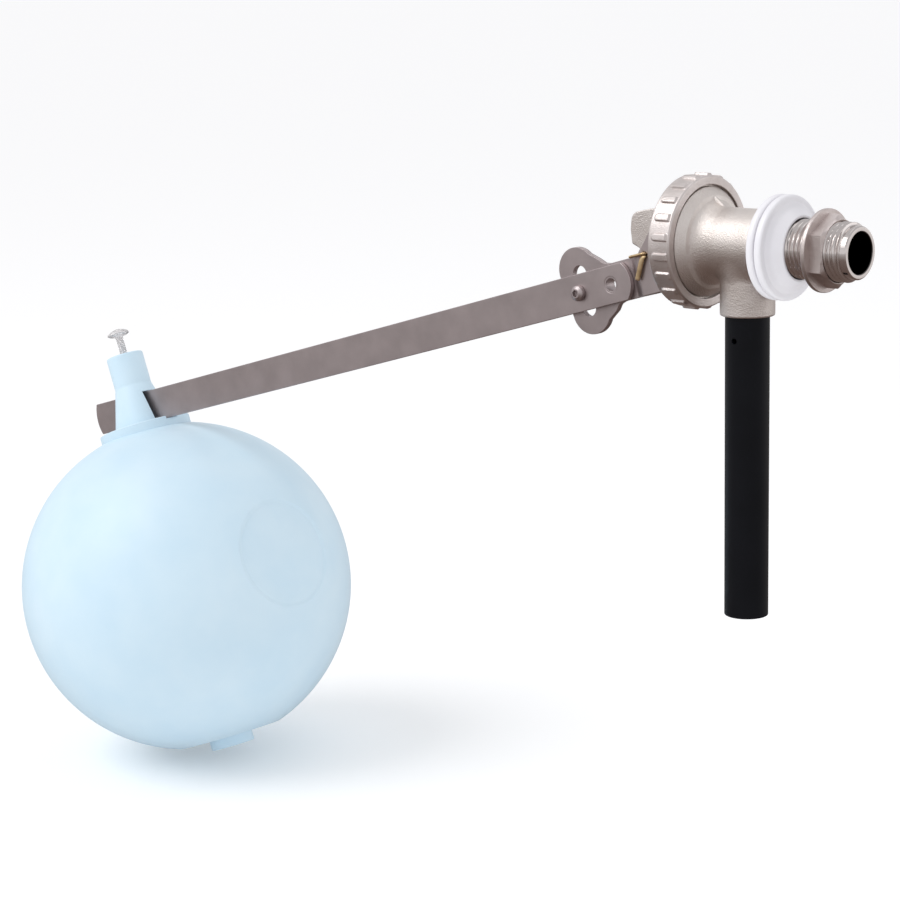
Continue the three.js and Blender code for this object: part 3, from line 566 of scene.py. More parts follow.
def brushed_steel(name, dark, light):
    """Rolled steel: streaks along the arm, small scratches and a grey-brown cast."""
    material, place, shader = new_finish(name, Metallic=1.0)
    lean = math.atan2(arm_away[2], -arm_away[0])
    streaks = noise(place, 900, 3, stretch=(0.06, 1, 1), turn=lean)
    cloud = ramp(noise(place, 90, 4), 0.3, 0.75)
    wear_in(
        shader,
        Base_Color=blended(cloud, light, dark),
        Roughness=0.36 + 0.16 * noise(place, 300, 4, stretch=(0.3, 1, 1), turn=lean),
        Normal=bumped(streaks, 0.02 * MM, 0.6, bumped(noise(place, 1500, 2), 0.01 * MM, 0.5)),
    )
    return material


def brass():
    """Drawn brass with a dull film."""
    material, place, shader = new_finish("brass", Metallic=1.0)
    film = ramp(noise(place, 400, 4), 0.35, 0.7)
    wear_in(
        shader,
        Base_Color=blended(film, (0.72, 0.55, 0.33), (0.5, 0.36, 0.2)),
        Roughness=0.28 + 0.2 * noise(place, 700, 3),
        Normal=bumped(noise(place, 1500, 3), 0.02 * MM, 0.6),
    )
    return material


def moulded(name, dark, light, roughness, grain, depth, **constants):
    """Moulded plastic or rubber: a matt grain, faint clouds of colour and uneven gloss."""
    material, place, shader = new_finish(name, **constants)
    cloud = ramp(noise(place, 45, 4), 0.3, 0.75)
    fine = noise(place, grain, 3)
    wear_in(
        shader,
        Base_Color=blended(cloud, light, dark),
        Roughness=roughness - 0.05 + 0.1 * noise(place, 260, 3),
        Normal=bumped(fine, depth, 0.5),
    )
    return material


finishes = {
    "nickel_cast": cast_nickel(),
    "nickel_ring": sanded_nickel("ring_nickel", (0.66, 0.6, 0.575), (0.76, 0.7, 0.68)),
    "nickel_nut": sanded_nickel("nut_nickel", (0.55, 0.48, 0.46), (0.7, 0.63, 0.61)),
    "brass": brass(),
    "stainless": brushed_steel("stainless", (0.43, 0.375, 0.375), (0.52, 0.455, 0.455)),
    "float_blue": moulded(
        "float_blue", (0.6, 0.78, 0.9), (0.66, 0.82, 0.92), 0.42, 1400, 0.03 * MM
    ),
    "white_plastic": moulded(
        "white_plastic", (0.8, 0.79, 0.83), (0.87, 0.86, 0.89), 0.3, 1200, 0.02 * MM
    ),
    "clear_plastic": moulded(
        "clear_plastic",
        (0.8, 0.78, 0.78),
        (0.88, 0.86, 0.86),
        0.22,
        900,
        0.02 * MM,
        Transmission_Weight=0.55,
        IOR=1.49,
    ),
    "black_plastic": moulded(
        "black_plastic",
        (0.003, 0.0035, 0.005),
        (0.005, 0.0055, 0.008),
        0.42,
        900,
        0.03 * MM,
        Specular_IOR_Level=0.12,
    ),
    "acetal": moulded("acetal", (0.78, 0.76, 0.7), (0.84, 0.82, 0.77), 0.4, 1200, 0.02 * MM),
    "rubber": moulded("rubber", (0.012, 0.012, 0.012), (0.02, 0.02, 0.02), 0.7, 1600, 0.04 * MM),
}

# ---- body, outlet and wall pieces ----


def bell_curve(rim, throat, length, first, last, steps):
    """A part of an ellipse: a = end - length cos t, r = rim - (rim - throat) sin t."""
    t = np.linspace(first, last, steps + 1)
    along = BELL_END - length * np.cos(t)
    out = rim - (rim - throat) * np.sin(t)
    return [(a, r) for a, r in zip(along, out)]


RING_FACE = ring_high[0]
BELL_FACE = RING_FACE - BELL_STEP
BELL_END = BELL_FACE + BELL_LENGTH
THREAD_END = body_high[0] - NOSE_LENGTH


def thread(along, radius, t):
    """A right-hand helical thread: a rounded triangle of the phase a / pitch - t / turn."""
    phase = np.mod(along / THREAD_PITCH - t / TURN, 1)
    flank = np.clip((1 - np.abs(2 * phase - 1) - 0.06) / 0.88, 0, 1)
    tooth = 0.6 * flank + 0.4 * (0.5 - 0.5 * np.cos(math.pi * flank))
    run = smoothstep(THREAD_START - THREAD_PITCH, THREAD_START, along)
    run = run * (along < THREAD_END - 0.1 * MM)
    outside = radius > INLET_BORE + 1.5 * MM
    return radius + np.where(outside, THREAD_DEPTH * tooth * run, 0)


def with_gusset(along, radius, t):
    """The thread, and the casting's short gusset over the bell.

    The gusset's top runs straight and inwards by its slope, and its sides fall off as
    exp(-w^4), where w is the distance from its middle plane over its width.
    """
    width = (t - GUSSET_ANGLE) * radius / GUSSET_WIDTH
    start = BELL_FACE + RIM_SLOPE - 0.5 * MM
    top = BELL_RADIUS - RIM_SLOPE - (along - start) * GUSSET_SLOPE + 0.4 * MM
    ends = smoothstep(start - 0.4 * MM, start + 0.4 * MM, along)
    within = (radius > BARREL_RADIUS - MM) & (radius < BELL_RADIUS)
    ridge = np.maximum(top - radius, 0) * np.exp(-(width**4)) * ends
    return thread(along, radius, t) + np.where(within, np.minimum(ridge, GUSSET_HEIGHT), 0)


def valve_body():
    """The body's closed lathe line: flange, bell, barrel, threaded shank, bore and chamber."""
    root = THREAD_RADIUS - THREAD_DEPTH
    end = body_high[0]
    flange_back = body_low[0]
    flange_front = flange_back + 1.7 * MM
    web_front, web_back, web_bore = -2.5 * MM, -6.5 * MM, 6.2 * MM
    mouth = 17.3 * MM
    flat, chamber = BELL_RADIUS - RIM_SLOPE, BARREL_RADIUS - BARREL_WALL
    step = BELL_RADIUS - 0.1 * MM
    front = rounded(
        [
            (flange_back, mouth),
            (flange_back, body_high[2], 0.3 * MM),
            (flange_front, body_high[2], 0.3 * MM),
            (flange_front, step, 0.2 * MM),
            (BELL_FACE + 0.2 * MM, step, 0.4 * MM),
            (BELL_FACE + RIM_SLOPE, flat, 0.8 * MM),
            *bell_curve(flat, BARREL_RADIUS, BELL_LENGTH - RIM_SLOPE, 0.35, math.pi / 2, 22),
            (SHOULDER, BARREL_RADIUS, 0.7 * MM),
            (SHOULDER, root, 0.3 * MM),
            (THREAD_START - THREAD_PITCH, root),
        ]
    )
    threaded = resampled(
        np.array([(THREAD_START - THREAD_PITCH, root), (THREAD_END, root)]), THREAD_PITCH / 14
    )
    back = rounded(
        [
            (THREAD_END, root),
            (THREAD_END + 0.2 * MM, NOSE_RADIUS, 0.15 * MM),
            (end - NOSE_CHAMFER, NOSE_RADIUS, 0.2 * MM),
            (end, NOSE_RADIUS - NOSE_CHAMFER, 0.2 * MM),
            (end, INLET_BORE + 0.3 * MM, 0.1 * MM),
            (end - 0.3 * MM, INLET_BORE, 0.1 * MM),
            (web_front, INLET_BORE, 0.3 * MM),
            (web_front, web_bore),
            (web_back, web_bore),
            (web_back, chamber, 0.8 * MM),
            *bell_curve(BELL_RADIUS, chamber, BELL_LENGTH + BARREL_WALL, math.pi / 2, 0.28, 12),
            (flange_back, mouth),
        ]
    )
    profile = np.concatenate([front, threaded, back[:-1]])
    beside = GUSSET_ANGLE + np.linspace(-1.5, 1.5, 21) * MM / BARREL_RADIUS
    angles = np.unique(np.concatenate([np.arange(144) * TURN / 144, beside]))
    return turned("valve_body_casting", profile, INLET, angles, closed=True, relief=with_gusset)


def outlet_boss():
    """The boss under the barrel, whose fillet lands on the barrel all the way round.

    In direction t the wall stands at r, and the fillet is a quadratic curve from the wall to
    the barrel at r + f. Its middle point lies on the wall where the barrel's tangent meets it.
    """
    fillet = 2.4 * MM
    t = np.arange(120) * TURN / 120
    barrel = BARREL_RADIUS - 0.02 * MM
    landing = BOSS_RADIUS + fillet
    across = landing * np.sin(t)
    height = -np.sqrt(barrel**2 - across**2)
    slope = -across * np.sin(t) / height
    corner = height - slope * fillet
    start = corner - fillet
    s = np.linspace(0, 1, 13)[:, None]
    radius = quadratic(BOSS_RADIUS, BOSS_RADIUS, landing, s)
    radius = np.broadcast_to(radius, (len(s), len(t)))
    level = quadratic(start, corner, height, s)
    bottom, socket = body_low[2], 8.15 * MM
    lower = rounded(
        [
            (bottom + 5 * MM, socket),
            (bottom, socket, 0.3 * MM),
            (bottom, BOSS_RADIUS, 1 * MM),
            (bottom + 5 * MM, BOSS_RADIUS),
        ]
    )
    lower_radius = np.broadcast_to(lower[:, 1:], (len(lower), len(t)))
    lower_level = np.broadcast_to(lower[:, :1], (len(lower), len(t)))
    sunk = [(landing, height + 0.8 * MM), (socket, height + 1.2 * MM)]
    sunk_radius = np.array([np.full(len(t), r) for r, _ in sunk])
    inside = -np.sqrt(barrel**2 - (socket * np.sin(t)) ** 2) + 1.2 * MM
    sunk_level = np.array([height + 0.8 * MM, inside])
    radius = np.concatenate([lower_radius, radius, sunk_radius])
    level = np.concatenate([lower_level, level, sunk_level])
    points = np.stack([radius * np.cos(t), radius * np.sin(t), level], 2).reshape(-1, 3)
    faces = grid_faces(len(level), len(t), wrap_rows=True)
    return piece_of("outlet_boss", bare_shape(points, faces), OUTLET)


def outlet_tube():
    """The pipe from the outlet, with its anti-siphon hole in front."""
    bore, outer = 6 * MM, (tube_high[0] - tube_low[0]) / 2
    profile = rounded(
        [
            (tube_low[2], bore, 0.3 * MM),
            (tube_low[2], outer, 0.4 * MM),
            (tube_high[2], outer, 0.4 * MM),
            (tube_high[2], bore, 0.3 * MM),
        ],
        closed=True,
    )
    tube = turned("outlet_pipe", profile, OUTLET, closed=True, axis="z")
    start, radius, level = -2 * outer, 1.1 * MM, -33.7 * MM
    drill_line = np.array([(start, 0), (start, radius), (0, radius), (0, 0)])
    drill = turned("drill", drill_line, OUTLET.moved(z=level), 32, axis="y")
    return cut(tube, drill)


def washer(name, node, cone):
    """A moulded washer with a round rim; the outer one rises in a hollow cone to its hub."""
    low, high = corners_of(node)
    rim, bore = high[2], THREAD_RADIUS + 0.3 * MM
    front = high[0] - cone
    hub = [
        (front + 0.1 * MM, rim - 2.4 * MM, 1 * MM),
        (front + 1.3 * MM, rim - 4.4 * MM, 4 * MM),
        (high[0], 11.6 * MM, 0.6 * MM),
        (high[0], bore, 0.3 * MM),
    ]
    plain = [(front, bore, 0.3 * MM)]
    profile = rounded(
        [
            (low[0], bore, 0.3 * MM),
            (low[0], rim, 1.2 * MM),
            (front, rim, 1.4 * MM),
            *(hub if cone else plain),
        ],
        closed=True,
        steps=8,
    )
    return turned(name, profile, INLET, 144, closed=True)


def nut_shape(across_flats, turn, flats_from, flats_to):
    """A relief that keeps a nut's outside within a hexagon between two places."""

    def relief(along, radius, t):
        """The smaller of the turned radius and the hexagon's, between the two places."""
        within = (along > flats_from) & (along < flats_to)
        return np.where(within, np.minimum(radius, hexagon(across_flats, t, turn)), radius)

    return relief


def lock_nut():
    """The flanged hexagon nut on the inlet thread."""
    low, high = corners_of("lock_nut")
    flats, bore, flange_thickness = 22.4 * MM, THREAD_RADIUS + 0.1 * MM, 1.6 * MM
    corner = flats / math.sqrt(3)
    flange = low[0] + flange_thickness
    profile = rounded(
        [
            (low[0], bore, 0.2 * MM),
            (low[0], high[1], 0.4 * MM),
            (flange, high[1], 0.4 * MM),
            (flange + 0.02 * MM, corner, 0.2 * MM),
            (high[0] - 0.9 * MM, corner, 0.3 * MM),
            (high[0], flats / 2 - 0.1 * MM, 0.2 * MM),
            (high[0], bore + 0.3 * MM, 0.1 * MM),
            (high[0] - 0.4 * MM, bore),
        ],
        closed=True,
    )
    relief = nut_shape(flats, TURN / 12, flange, high[0] + MM)
    return turned("lock_nut_turned", profile, INLET, 180, closed=True, relief=relief, crease=24)


def ring_nut():
    """The ring nut: a chamfered lip in front and raised grips, each a bar with a round back.

    A grip's height falls from the full height to nothing across its rim, by the distance d
    from the line in its middle; the front end runs out before the chamfer.
    """
    outer = 23.8 * MM
    bore, lip_back, chamfer = 22.55 * MM, RING_FACE - RING_LIP, 0.5 * MM
    pitch = TURN / RIB_COUNT
    line = rounded(
        [
            (ring_low[0], bore, 0.2 * MM),
            (ring_low[0], outer, 0.6 * MM),
            (RING_FACE - chamfer, outer, 0.3 * MM),
            (RING_FACE, outer - chamfer, 0.3 * MM),
            (RING_FACE, RING_OPENING, 0.25 * MM),
            (lip_back, RING_OPENING, 0.1 * MM),
            (lip_back, bore),
        ],
        closed=True,
        steps=5,
    )
    band = (line[:, 1] > outer - 0.01 * MM) & (line[:, 0] < RING_FACE - chamfer)
    first = int(np.argmax(band))
    profile = np.concatenate(
        [line[: first + 1], resampled(line[first : first + 2], 0.22 * MM)[1:], line[first + 2 :]]
    )
    edge = np.array([0, 0.6, 0.9, 1.1, 1.25, 1.4, 1.55, 1.75, 2.4]) * MM / outer
    around = np.concatenate([-edge[:0:-1], edge, [pitch / 2]])
    angles = np.sort(np.mod(around[None] + pitch * np.arange(RIB_COUNT)[:, None], TURN).ravel())

    def grips(along, radius, t):
        """Adds the grips' height to the rim."""
        side = (np.mod(t + pitch / 2, pitch) - pitch / 2) * outer
        back = np.maximum(RIB_BACK + RIB_HALF_WIDTH - along, 0)
        distance = np.hypot(back, side)
        height = 1 - smoothstep(RIB_HALF_WIDTH - 0.45 * MM, RIB_HALF_WIDTH + 0.15 * MM, distance)
        height = height * (1 - smoothstep(RIB_FRONT - 0.7 * MM, RIB_FRONT, along))
        outside = radius > outer - 0.3 * MM
        return radius + np.where(outside, RIB_HEIGHT * height, 0)

    return turned("ring_nut_turned", profile, INLET, angles, closed=True, relief=grips)


# ---- cover, piston and pins ----


def cover_disc():
    """The cover's disc with its spigot and the piston's bore."""
    bore, spigot = 5.15 * MM, 17.2 * MM
    profile = rounded(
        [
            (COVER_BACK, bore, 0.3 * MM),
            (COVER_BACK, cover_high[1], 0.6 * MM),
            (COVER_FRONT, cover_high[1], 0.3 * MM),
            (COVER_FRONT, spigot, 0.2 * MM),
            (cover_high[0], spigot, 0.3 * MM),
            (cover_high[0], bore, 0.3 * MM),
        ],
        closed=True,
    )
    return turned("cover_disc", profile, INLET, 128, closed=True)


def cover_lug():
    """The flat lug behind the cover that carries the pivot pin, with its window."""
    back, tip = COVER_BACK, cover_low[0]
    heel = pivot[0] - 3.5 * MM
    root, floor = back + 1.5 * MM, back + 0.3 * MM
    window, window_end, window_root = 4.3 * MM, back - 13 * MM, 6 * MM
    corners = [
        (root, -12 * MM),
        (heel, -12 * MM, 4 * MM),
        (heel, pivot[2] + 2.1 * MM, 0.8 * MM),
        (tip + 0.7 * MM, pivot[2] + 3.6 * MM, 1 * MM),
        (tip, 2.9 * MM, 1 * MM),
        (tip + 0.6 * MM, 9 * MM, 4 * MM),
        (tip + 9 * MM, 10.9 * MM, 4 * MM),
        (root, 12.5 * MM),
        (root, window_root),
        (floor, window_root),
        (floor, window),
        (window_end, window, 0.8 * MM),
        (window_end, -window, 0.8 * MM),
        (floor, -window),
        (floor, -window_root),
        (root, -window_root),
    ]
    outline = rounded(corners, closed=True, steps=8)
    pin_hole = round_hole((pivot[0], pivot[2]), PIN_HOLE, 32)
    half = 3.3 * MM
    return plate("cover_lug", outline, [pin_hole], -half, half, INLET, edge=0.5 * MM)


def piston_stem():
    """The piston: its stem behind the cover, its guide and its head with the disc's pocket."""
    low, high = corners_of("piston")
    guide, stem = 5 * MM, 3 * MM
    plunger, shoulder = -43.3 * MM, high[0] - 6.4 * MM
    groove_back, groove_front, groove_floor = -41.65 * MM, -40.35 * MM, guide - 1.1 * MM
    pocket, pocket_floor = 6.25 * MM, -28.82 * MM
    screw_hole, hole_end = 1.5 * MM, -36.2 * MM
    profile = rounded(
        [
            (low[0], 0),
            (low[0], stem, 0.5 * MM),
            (plunger, stem, 0.2 * MM),
            (plunger, guide, 0.3 * MM),
            (groove_back, guide),
            (groove_back, groove_floor),
            (groove_front, groove_floor),
            (groove_front, guide),
            (shoulder, guide, 0.3 * MM),
            (shoulder, high[1], 0.3 * MM),
            (high[0], high[1], 0.3 * MM),
            (high[0], pocket, 0.2 * MM),
            (pocket_floor, pocket),
            (pocket_floor, screw_hole),
            (hole_end, screw_hole),
            (hole_end, 0),
        ]
    )
    return turned("piston_stem", profile, INLET, 64)


def split_pin():
    """One bent wire: two halves side by side through the lug, an eye behind, legs in front."""
    half, back = 0.56 * MM, 5.2 * MM
    eye, steps, first_leg_spans = 2.4 * MM, 8, 6
    loop = arc((back + eye + 0.5 * MM, 0), eye, 1.2 * math.pi, 2.8 * math.pi, 9)[::-1]
    away = [(-5.8, -5.75, -1.0), (-3.4, -5.78, -0.35), (-1.0, -5.7, 0.3), (-0.1, -5.5, 0.56)]
    down = [(0.1, -5.5, -0.56), (-0.5, -5.75, -1.9), (-1.3, -5.8, -4.7), (-2.5, -5.8, -9.1)]
    path = np.concatenate(
        [
            np.array(away) * MM,
            [(0, -4.6 * MM, half), (0, 0, half), (0, back - 1.2 * MM, half)],
            np.stack([np.zeros(len(loop)), loop[:, 0], loop[:, 1]], 1),
            [(0, back - 1.2 * MM, -half), (0, 0, -half), (0, -4.6 * MM, -half)],
            np.array(down) * MM,
        ]
    )
    path = spline(path, steps)
    ahead = np.gradient(path, axis=0)
    edgewise = np.cross([0, 0, 1], ahead)
    first_leg = np.arange(len(path))[:, None] < first_leg_spans * steps
    sides = np.where(first_leg, edgewise, [-1.0, 0, 0])
    seat = Seat(pivot, (1, 0, 0), (0, 0, 1))
    return wire("split_pin_wire", path, sides, 1.05 * MM, 0.55 * MM, seat)


# ---- lever ----

LOBE_UP = (-36.4 * MM, 1.3 * MM, 8.8 * MM)
LOBE_DOWN = (-33.6 * MM, -14.5 * MM, 9.3 * MM)
HOLE = (-19.8 * MM, -7.3 * MM)


def lever_point(x, z):
    """A place given along the valve's X and Z from the pivot, in the lever's own X and Z."""
    return LEVER.axes[[0, 2]] @ np.array([x, 0, z])


PUSH = lever_point(4.7 * MM, 7.5 * MM)


def slot_line():
    """The quadrant's curved slot: two arcs about the arm hole joined by round ends."""
    radius, half = 16.4 * MM, 3.3 * MM
    first, last = math.pi - math.radians(24.5), math.pi + math.radians(23)
    ends = [np.array(HOLE) + radius * np.array([math.cos(a), math.sin(a)]) for a in (first, last)]
    line = np.concatenate(
        [
            arc(HOLE, radius + half, first, last, 24)[:-1],
            arc(ends[1], half, last, last + math.pi, 14)[:-1],
            arc(HOLE, radius - half, last, first, 20)[:-1],
            arc(ends[0], half, first - math.pi, first, 14)[:-1],
        ]
    )
    middle = np.array([HOLE[0] - radius, HOLE[1]])
    turn = math.radians(5)
    rotation = np.array([[math.cos(turn), math.sin(turn)], [-math.sin(turn), math.cos(turn)]])
    return middle + (line - middle) @ rotation


def lever_outline():
    """The sheet's outline in the lever's frame: nose, push pin ear, pivot ear and two lobes."""
    nose = COVER_BACK - 0.35 * MM - pivot[0]
    low, high = lever_point(nose, -10.5 * MM), lever_point(nose, -4.5 * MM)
    top, bottom = 0.6 * MM, -14.5 * MM
    x, z = HOLE
    return np.concatenate(
        [
            rounded([(x, bottom), (low[0], bottom, 1.5 * MM), (*low, 1 * MM), tuple(high)])[1:],
            arc(PUSH, 2.9 * MM, -0.4, 2.4, 16),
            arc((0, 0), 3 * MM, 1.9, math.pi - 0.25, 10),
            rounded(
                [
                    (-3 * MM, 0.7 * MM),
                    (-4.4 * MM, top, 1.5 * MM),
                    (x - 0.4 * MM, top, 2 * MM),
                    (x - 3 * MM, top + 0.7 * MM, 2 * MM),
                    (x - 5.4 * MM, top + 2.8 * MM, 2 * MM),
                    (x - 7.4 * MM, top + 4.8 * MM),
                ]
            )[1:-1],
            arc(LOBE_UP[:2], LOBE_UP[2], 0.6, math.pi + 0.05, 40),
            arc(LOBE_DOWN[:2], LOBE_DOWN[2], math.pi + 0.25, TURN - 0.6, 40),
            rounded(
                [
                    (x - 4 * MM, bottom - 4.4 * MM),
                    (x - 1.6 * MM, bottom - 2.6 * MM, 2 * MM),
                    (x + 0.2 * MM, bottom - 0.6 * MM, 2 * MM),
                    (x + 2.5 * MM, bottom, 2 * MM),
                    (x + 6 * MM, bottom),
                ]
            )[1:],
        ]
    )


def lever_sheet(name, quadrant_plane, lug_plane):
    """One steel sheet: flat beside the arm, and stepped sideways over the joggle."""
    start, end = -9.8 * MM, -3.8 * MM
    holes = [
        slot_line(),
        round_hole(HOLE, ARM_HOLE, 40),
        round_hole((0, 0), PIN_HOLE, 28),
        round_hole(PUSH, 1.6 * MM, 28),
    ]

    def step_aside(x):
        """The sideways step: the planes' distance times a smooth step along the joggle."""
        return (lug_plane - quadrant_plane) * smoothstep(start, end, x)

    return plate(
        name,
        lever_outline(),
        holes,
        quadrant_plane,
        quadrant_plane + SHEET,
        LEVER,
        edge=0.16 * MM,
        folds=np.linspace(start, end, 13),
        bend=step_aside,
    )


def push_pin():
    """The pin between the sheets that presses on the piston's stem, peened at both ends."""
    end, radius = 4.8 * MM, 1.5 * MM
    profile = rounded([(-end, 0), (-end, radius, 0.4 * MM), (end, radius, 0.4 * MM), (end, 0)])
    return turned("push_pin_rod", profile, LEVER.moved(x=PUSH[0], z=PUSH[1]), 48, axis="y")


def arm_rivet():
    """The hollow rivet on which the arm turns: flush in front, rolled over behind."""
    front, back, end = -3.4 * MM, 1.2 * MM, 1.9 * MM
    bore, radius, flange = 2.4 * MM, 3.08 * MM, 4.1 * MM
    profile = rounded(
        [
            (front, bore, 0.1 * MM),
            (front, radius),
            (back, radius),
            (back, flange, 0.3 * MM),
            (end, flange, 0.4 * MM),
            (end, bore, 0.4 * MM),
        ],
        closed=True,
    )
    return turned("arm_rivet_sleeve", profile, ARM, 64, closed=True, axis="y")


# ---- arm ----

CLAMP = -15.9 * MM
ARM_FRONT = -3.5 * MM


def float_arm():
    """The flat bar: a short round near end by the valve and a blunter far end."""
    half, near, far, end = 7.1 * MM, 9.6 * MM, -324.6 * MM, 15 * MM
    near_angle, far_angle = math.asin(half / near), math.asin(half / end)
    outline = np.concatenate(
        [
            arc((0, 0), near, -near_angle, near_angle, 24),
            arc((far + end, 0), end, math.pi - far_angle, math.pi + far_angle, 20),
        ]
    )
    holes = [
        round_hole((0, 0), ARM_HOLE, 40),
        round_hole((CLAMP, 0), CLAMP_HOLE, 32),
    ]
    return plate("float_arm_bar", outline, holes, ARM_FRONT, ARM_FRONT + 2 * MM, ARM, 0.22 * MM)


def clamp_screw():
    """The button-head screw that fixes the arm in the quadrant's slot, with a hex socket."""
    seat, end = ARM_FRONT - 0.1 * MM, 6.1 * MM
    top, head, shank, socket = seat - 2.4 * MM, 3 * MM, 2 * MM, 2.4 * MM
    floor = top + 1.4 * MM
    profile = rounded(
        [
            (floor + 0.3 * MM, 0),
            (floor, 0.99 * socket / math.sqrt(3)),
            (top, socket / math.sqrt(3)),
            (top, 1.75 * MM, 0.3 * MM),
            (top + 0.9 * MM, head, 0.9 * MM),
            (seat, head, 0.25 * MM),
            (seat, shank),
            (end - 0.3 * MM, shank),
            (end, shank - 0.4 * MM),
            (end, 0),
        ],
        steps=6,
    )

    def socket_sides(along, radius, t):
        """Keeps the socket's wall within a hexagon."""
        inner = (radius < 1.5 * MM) & (along < floor + 0.1 * MM) & (radius > 0.5 * MM)
        return np.where(inner, np.minimum(radius, hexagon(socket, t)), radius)

    place = ARM.moved(x=CLAMP)
    return turned("clamp_screw_button", profile, place, 96, axis="y", relief=socket_sides)


def clamp_washer():
    """The plain washer behind the quadrant, with rounded edges."""
    low, high = corners_of("clamp_washer")
    profile = rounded(
        [
            (low[1], CLAMP_HOLE),
            (low[1], 4.6 * MM, 0.25 * MM),
            (high[1], 4.6 * MM, 0.25 * MM),
            (high[1], CLAMP_HOLE),
        ],
        closed=True,
    )
    return turned("clamp_washer_ring", profile, ARM.moved(x=CLAMP), 72, closed=True, axis="y")


def clamp_nut():
    """The clamp screw's hexagon nut, chamfered at both faces."""
    low, high = corners_of("clamp_nut")
    flats = 7 * MM
    corner = flats / math.sqrt(3)
    profile = rounded(
        [
            (low[1], CLAMP_HOLE),
            (low[1], flats / 2, 0.1 * MM),
            (low[1] + 0.5 * MM, corner, 0.2 * MM),
            (high[1] - 0.5 * MM, corner, 0.2 * MM),
            (high[1], flats / 2, 0.1 * MM),
            (high[1], CLAMP_HOLE),
        ],
        closed=True,
    )
    relief = nut_shape(flats, 0.0, low[1] - MM, high[1] + MM)
    seat = ARM.moved(x=CLAMP)
    return turned("clamp_nut_hex", profile, seat, 96, closed=True, axis="y", relief=relief)


# ---- float ----

FLAT_RADIUS = 23.4 * MM  # the flat below the ball
FLAT = -math.sqrt(FLOAT_RADIUS**2 - FLAT_RADIUS**2)
BADGE_RADIUS = 24 * MM


def badge_recess(along, radius, t):
    """The bare round recess on the side that faces the valve, with a soft rim.

    s is the arc from the recess's middle. The floor lies one depth below the ball, and a
    little more in the middle, so that it is flatter than the ball.
    """
    length = np.hypot(radius, along)
    on_ball = np.abs(length - FLOAT_RADIUS) < 0.01 * MM
    facing = np.clip(radius * np.cos(t) / np.maximum(length, MM), -1, 1)
    s = FLOAT_RADIUS * np.arccos(facing)
    floor = 1 - smoothstep(BADGE_RADIUS - 1.1 * MM, BADGE_RADIUS + 0.9 * MM, s)
    depth = (0.85 * MM + 0.5 * MM * (1 - np.minimum(s / BADGE_RADIUS, 1) ** 2)) * floor
    return np.where(on_ball, radius * (1 - depth / FLOAT_RADIUS), radius)


def float_ball():
    """The blown ball: round, flattened below round a short boss that takes the plug."""
    fine = math.radians(21)
    lowest = math.asin(FLAT / FLOAT_RADIUS) + 0.03  # the ball's first ring above the flat
    t = np.unique(
        np.concatenate(
            [
                np.linspace(lowest, -fine, 26),
                np.linspace(-fine, fine, 110),
                np.linspace(fine, math.pi / 2, 40),
            ]
        )
    )
    socket, boss_radius = 6.95 * MM, 10 * MM
    socket_floor, boss_end = FLAT + 3 * MM, FLAT - 5 * MM
    boss = rounded(
        [
            (socket_floor, 0),
            (socket_floor, socket),
            (boss_end, socket, 0.4 * MM),
            (boss_end, boss_radius, 0.6 * MM),
            (FLAT, boss_radius, 0.8 * MM),
            (FLAT, FLAT_RADIUS, 1.6 * MM),
            (FLOAT_RADIUS * math.sin(lowest), FLOAT_RADIUS * math.cos(lowest)),
        ]
    )
    sphere = np.stack([FLOAT_RADIUS * np.sin(t), FLOAT_RADIUS * np.cos(t)], 1)
    profile = np.concatenate([boss[:-1], sphere])
    angles = np.concatenate(
        [np.linspace(-fine, fine, 110), np.linspace(fine, TURN - fine, 150)[1:-1]]
    )
    name = "float_ball_shell"
    return turned(name, profile, BALL, angles, axis="z", relief=badge_recess, crease=40)


def float_neck():
    """The ball's neck: a collar, a cone and a post, cut through by a box for the arm."""
    foot, shelf, shoulder, top = 69.5 * MM, 76 * MM, 95 * MM, 110 * MM
    collar, cone, post = 21 * MM, 13.6 * MM, 8.5 * MM
    screw_hole, hole_floor = 1.9 * MM, 84 * MM
    profile = rounded(
        [
            (foot, 0),
            (foot, collar),
            (shelf, collar, 0.6 * MM),
            (shelf, cone, 0.8 * MM),
            (shoulder, post, 4 * MM),
            (top, post, 0.9 * MM),
            (top, screw_hole, 0.2 * MM),
            (hole_floor, screw_hole),
            (hole_floor, 0),
        ]
    )
    neck = turned("float_neck", profile, BALL.moved(x=NECK_OFFSET), 128, axis="z")
    half = np.array([32, 3.1, 7.4]) * MM
    signs = np.array([(x, y, z) for x in (-1, 1) for y in (-1, 1) for z in (-1, 1)])
    faces = [(0, 1, 3, 2), (4, 6, 7, 5), (0, 4, 5, 1), (2, 3, 7, 6), (0, 2, 6, 4), (1, 5, 7, 3)]
    return cut(neck, piece_of("slot", bare_shape(signs * half, faces), FLOAT_SLOT))


def float_plug():
    """The plug in the ball's boss, with a shallow dish in its face."""
    low, radius = FLAT - 4.4 * MM, 6.8 * MM
    dish, top = low + 0.8 * MM, low + 6 * MM
    profile = rounded(
        [
            (dish, 0),
            (dish, 4.6 * MM, 0.3 * MM),
            (low, 5.2 * MM, 0.3 * MM),
            (low, radius, 0.4 * MM),
            (top, radius),
            (top, 0),
        ]
    )
    return turned("float_plug_disc", profile, BALL, 64, axis="z")


